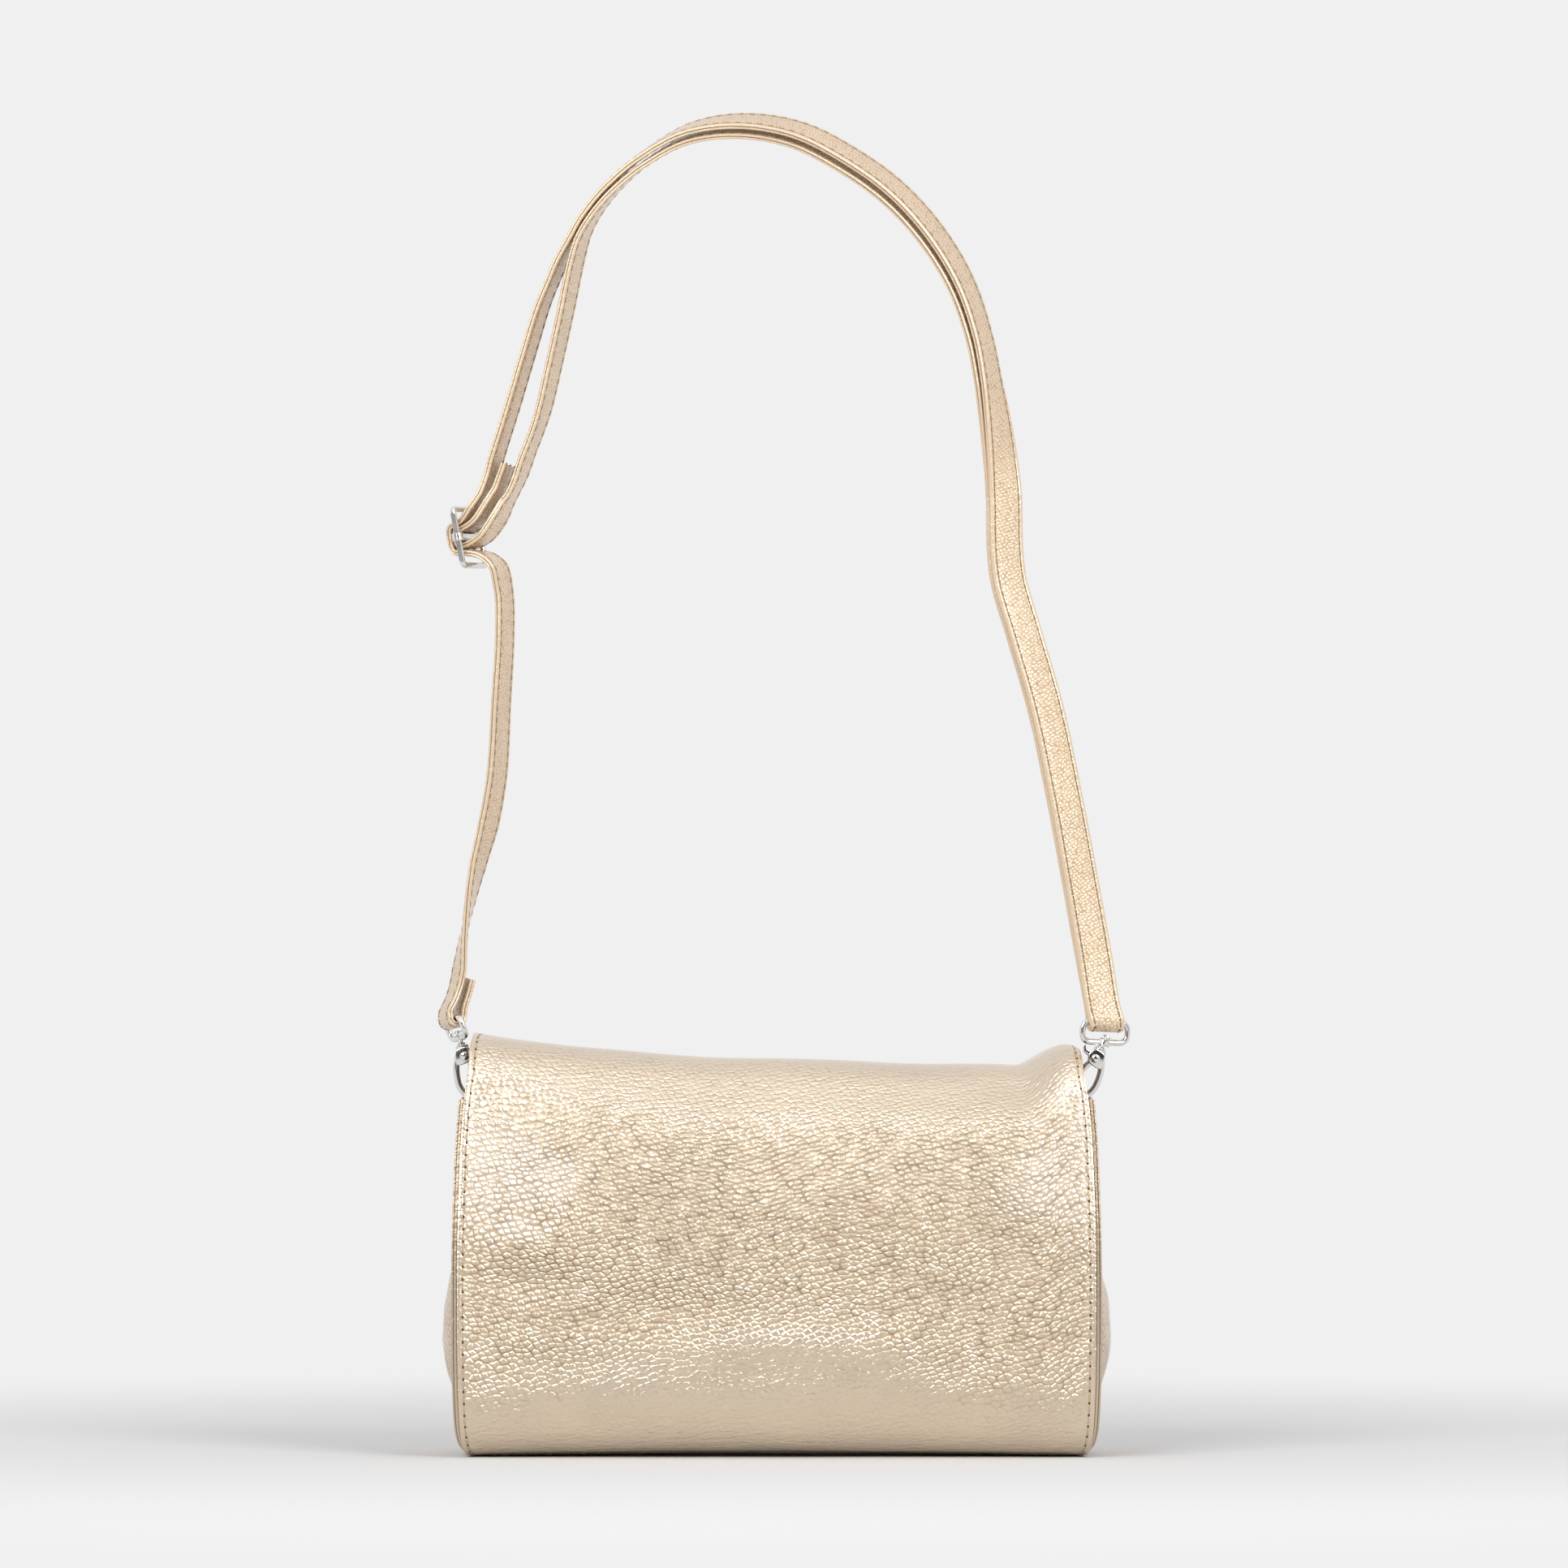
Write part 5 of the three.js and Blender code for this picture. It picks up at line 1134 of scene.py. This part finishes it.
# The strap's thread is darker than the body's: partly its own brown, partly painted shade of the stitch furrows.
strap_thread = plain_material("strap_thread", (0.34, 0.235, 0.135), 0.6, 0.25, 0.08)
strap_leatherette = (pebbled_leatherette("strap_leatherette", 1.7, 0.24, 0.48, (1.04, 0.97, 0.89)), "strap_leatherette")
strap_skin = grid_object("strap_band", strap_grid, [strap_grain_and_painted_shade(w, f) for w, f in section], closed_across=True)
shell = bmesh.new()
shell.from_mesh(strap_skin.data)
bmesh.ops.holes_fill(shell, edges=[edge for edge in shell.edges if edge.is_boundary])
shell.to_mesh(strap_skin.data)
shell.free()
settle(face_out(strap_skin), crisp=70)
finish_piece(strap_skin, strap_leatherette, "strap", "strap")
for edge, first in ((-1, "a"), (1, "b")):
    for face, second in ((-1, "a"), (1, "b")):
        line = strap_line + strap_wide * edge * STITCH_ACROSS + strap_face * face * STITCH_OUT
        row = stitch_row(f"strap_stitching_{first}_{second}", line, strap_face * face,
                         EDGE_PITCH, EDGE_STITCH, strap_thread)
        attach(row, "strap")


# Floor and studio: a pale floor that keeps the bag's shadow and runs out into a pale surround, a wide
# dark card round the lens that bright metal and gilt skin mirror, and three large soft lamps.
PALE = (0.871, 0.871, 0.875)
LIT_FLOOR = (0.71, 0.71, 0.71)
FLOOR_HALF = 7.0
FADE_START, FADE_END = 0.22, 0.75  # how far out the floor runs into the surround
CARD_BACK = -3.6  # the card stands this far in front of the bag
CARD_WIDE, CARD_FOOT, CARD_TALL = 6.5, 0.01, 6.5
CARD_AXIS = (0.0, -0.97, -0.25)


def seen_directly(make):
    """Nought for rays that only light the scene, one for rays that look at it."""
    path = make.add("LightPath").outputs
    seen = make.calc("MAXIMUM", path["Is Camera Ray"], path["Is Glossy Ray"])
    return make.calc("MAXIMUM", seen, path["Is Transmission Ray"])


def stage_sheet(name, corners, material):
    """A flat sheet of the studio, which is no part of the bag."""
    mesh = bpy.data.meshes.new(name)
    mesh.from_pydata(corners, [], [(0, 1, 2, 3)])
    mesh.materials.append(material)
    sheet = add_object(name, mesh)
    return sheet


floor_paper, make = new_material("floor_paper")
reach = make.vector("LENGTH", make.add("TexCoord").outputs["Object"])
fade = make.spread(reach, FADE_START, FADE_END, interpolation_type="SMOOTHSTEP")
plain = make.add("BsdfDiffuse", {"Color": (*LIT_FLOOR, 1)})
glow = make.add("Emission", {"Color": (*PALE, 1), "Strength": 1.0})
share = make.calc("MULTIPLY", seen_directly(make), fade)
mix = make.add("MixShader", {0: share, 1: plain.outputs[0], 2: glow.outputs[0]})
make.add("OutputMaterial", {"Surface": mix.outputs[0]})
corners = [(x * FLOOR_HALF, y * FLOOR_HALF, 0) for x, y in ((-1, -1), (1, -1), (1, 1), (-1, 1))]
stage_sheet("floor", corners, floor_paper)

card_paint, make = new_material("card_paint")
way = make.vector("NORMALIZE", make.add("TexCoord").outputs["Object"])
level = make.ramp(make.vector("DOT_PRODUCT", way, CARD_AXIS), [
    (0.45, (0.5, 0.5, 0.51)), (0.6, (0.27, 0.27, 0.28)), (0.77, (0.09, 0.09, 0.1)), (0.9, (0.004, 0.004, 0.005))])
glow = make.add("Emission", {"Color": level, "Strength": 1.0})
make.add("OutputMaterial", {"Surface": glow.outputs[0]})
card = stage_sheet("dark_card", [(x, CARD_BACK, z) for x, z in (
    (-CARD_WIDE, CARD_FOOT), (CARD_WIDE, CARD_FOOT), (CARD_WIDE, CARD_TALL), (-CARD_WIDE, CARD_TALL))], card_paint)
card.visible_camera = False

world = bpy.data.worlds.new("studio")
bpy.context.scene.world = world
make = Nodes(world)
soft_light = make.add("Background", {"Color": (0.66, 0.66, 0.67, 1), "Strength": 1.0})
surround = make.add("Background", {"Color": (*PALE, 1), "Strength": 1.0})
mix = make.add("MixShader", {0: seen_directly(make), 1: soft_light.outputs[0], 2: surround.outputs[0]})
make.add("OutputWorld", {"Surface": mix.outputs[0]})

LAMP_AIM = Vector((0, 0, 0.12))
# Each lamp: its place, width and height, and power.
LAMPS = [
    ("left_softbox", (-0.98, -1.8, 1.25), 1.3, 1.2, 29),
    ("right_softbox", (1.12, -1.65, 1.2), 0.9, 1.2, 23),
    ("top_softbox", (0.0, -0.5, 1.8), 1.4, 1.2, 2.5),
]
for name, place, wide, tall, power in LAMPS:
    lamp = bpy.data.lights.new(name, "AREA")
    lamp.shape = "RECTANGLE"
    lamp.size = wide
    lamp.size_y = tall
    lamp.energy = power
    softbox = add_object(name, lamp)
    softbox.location = place
    softbox.rotation_euler = (LAMP_AIM - Vector(place)).to_track_quat("-Z", "Y").to_euler()
    softbox.visible_camera = False
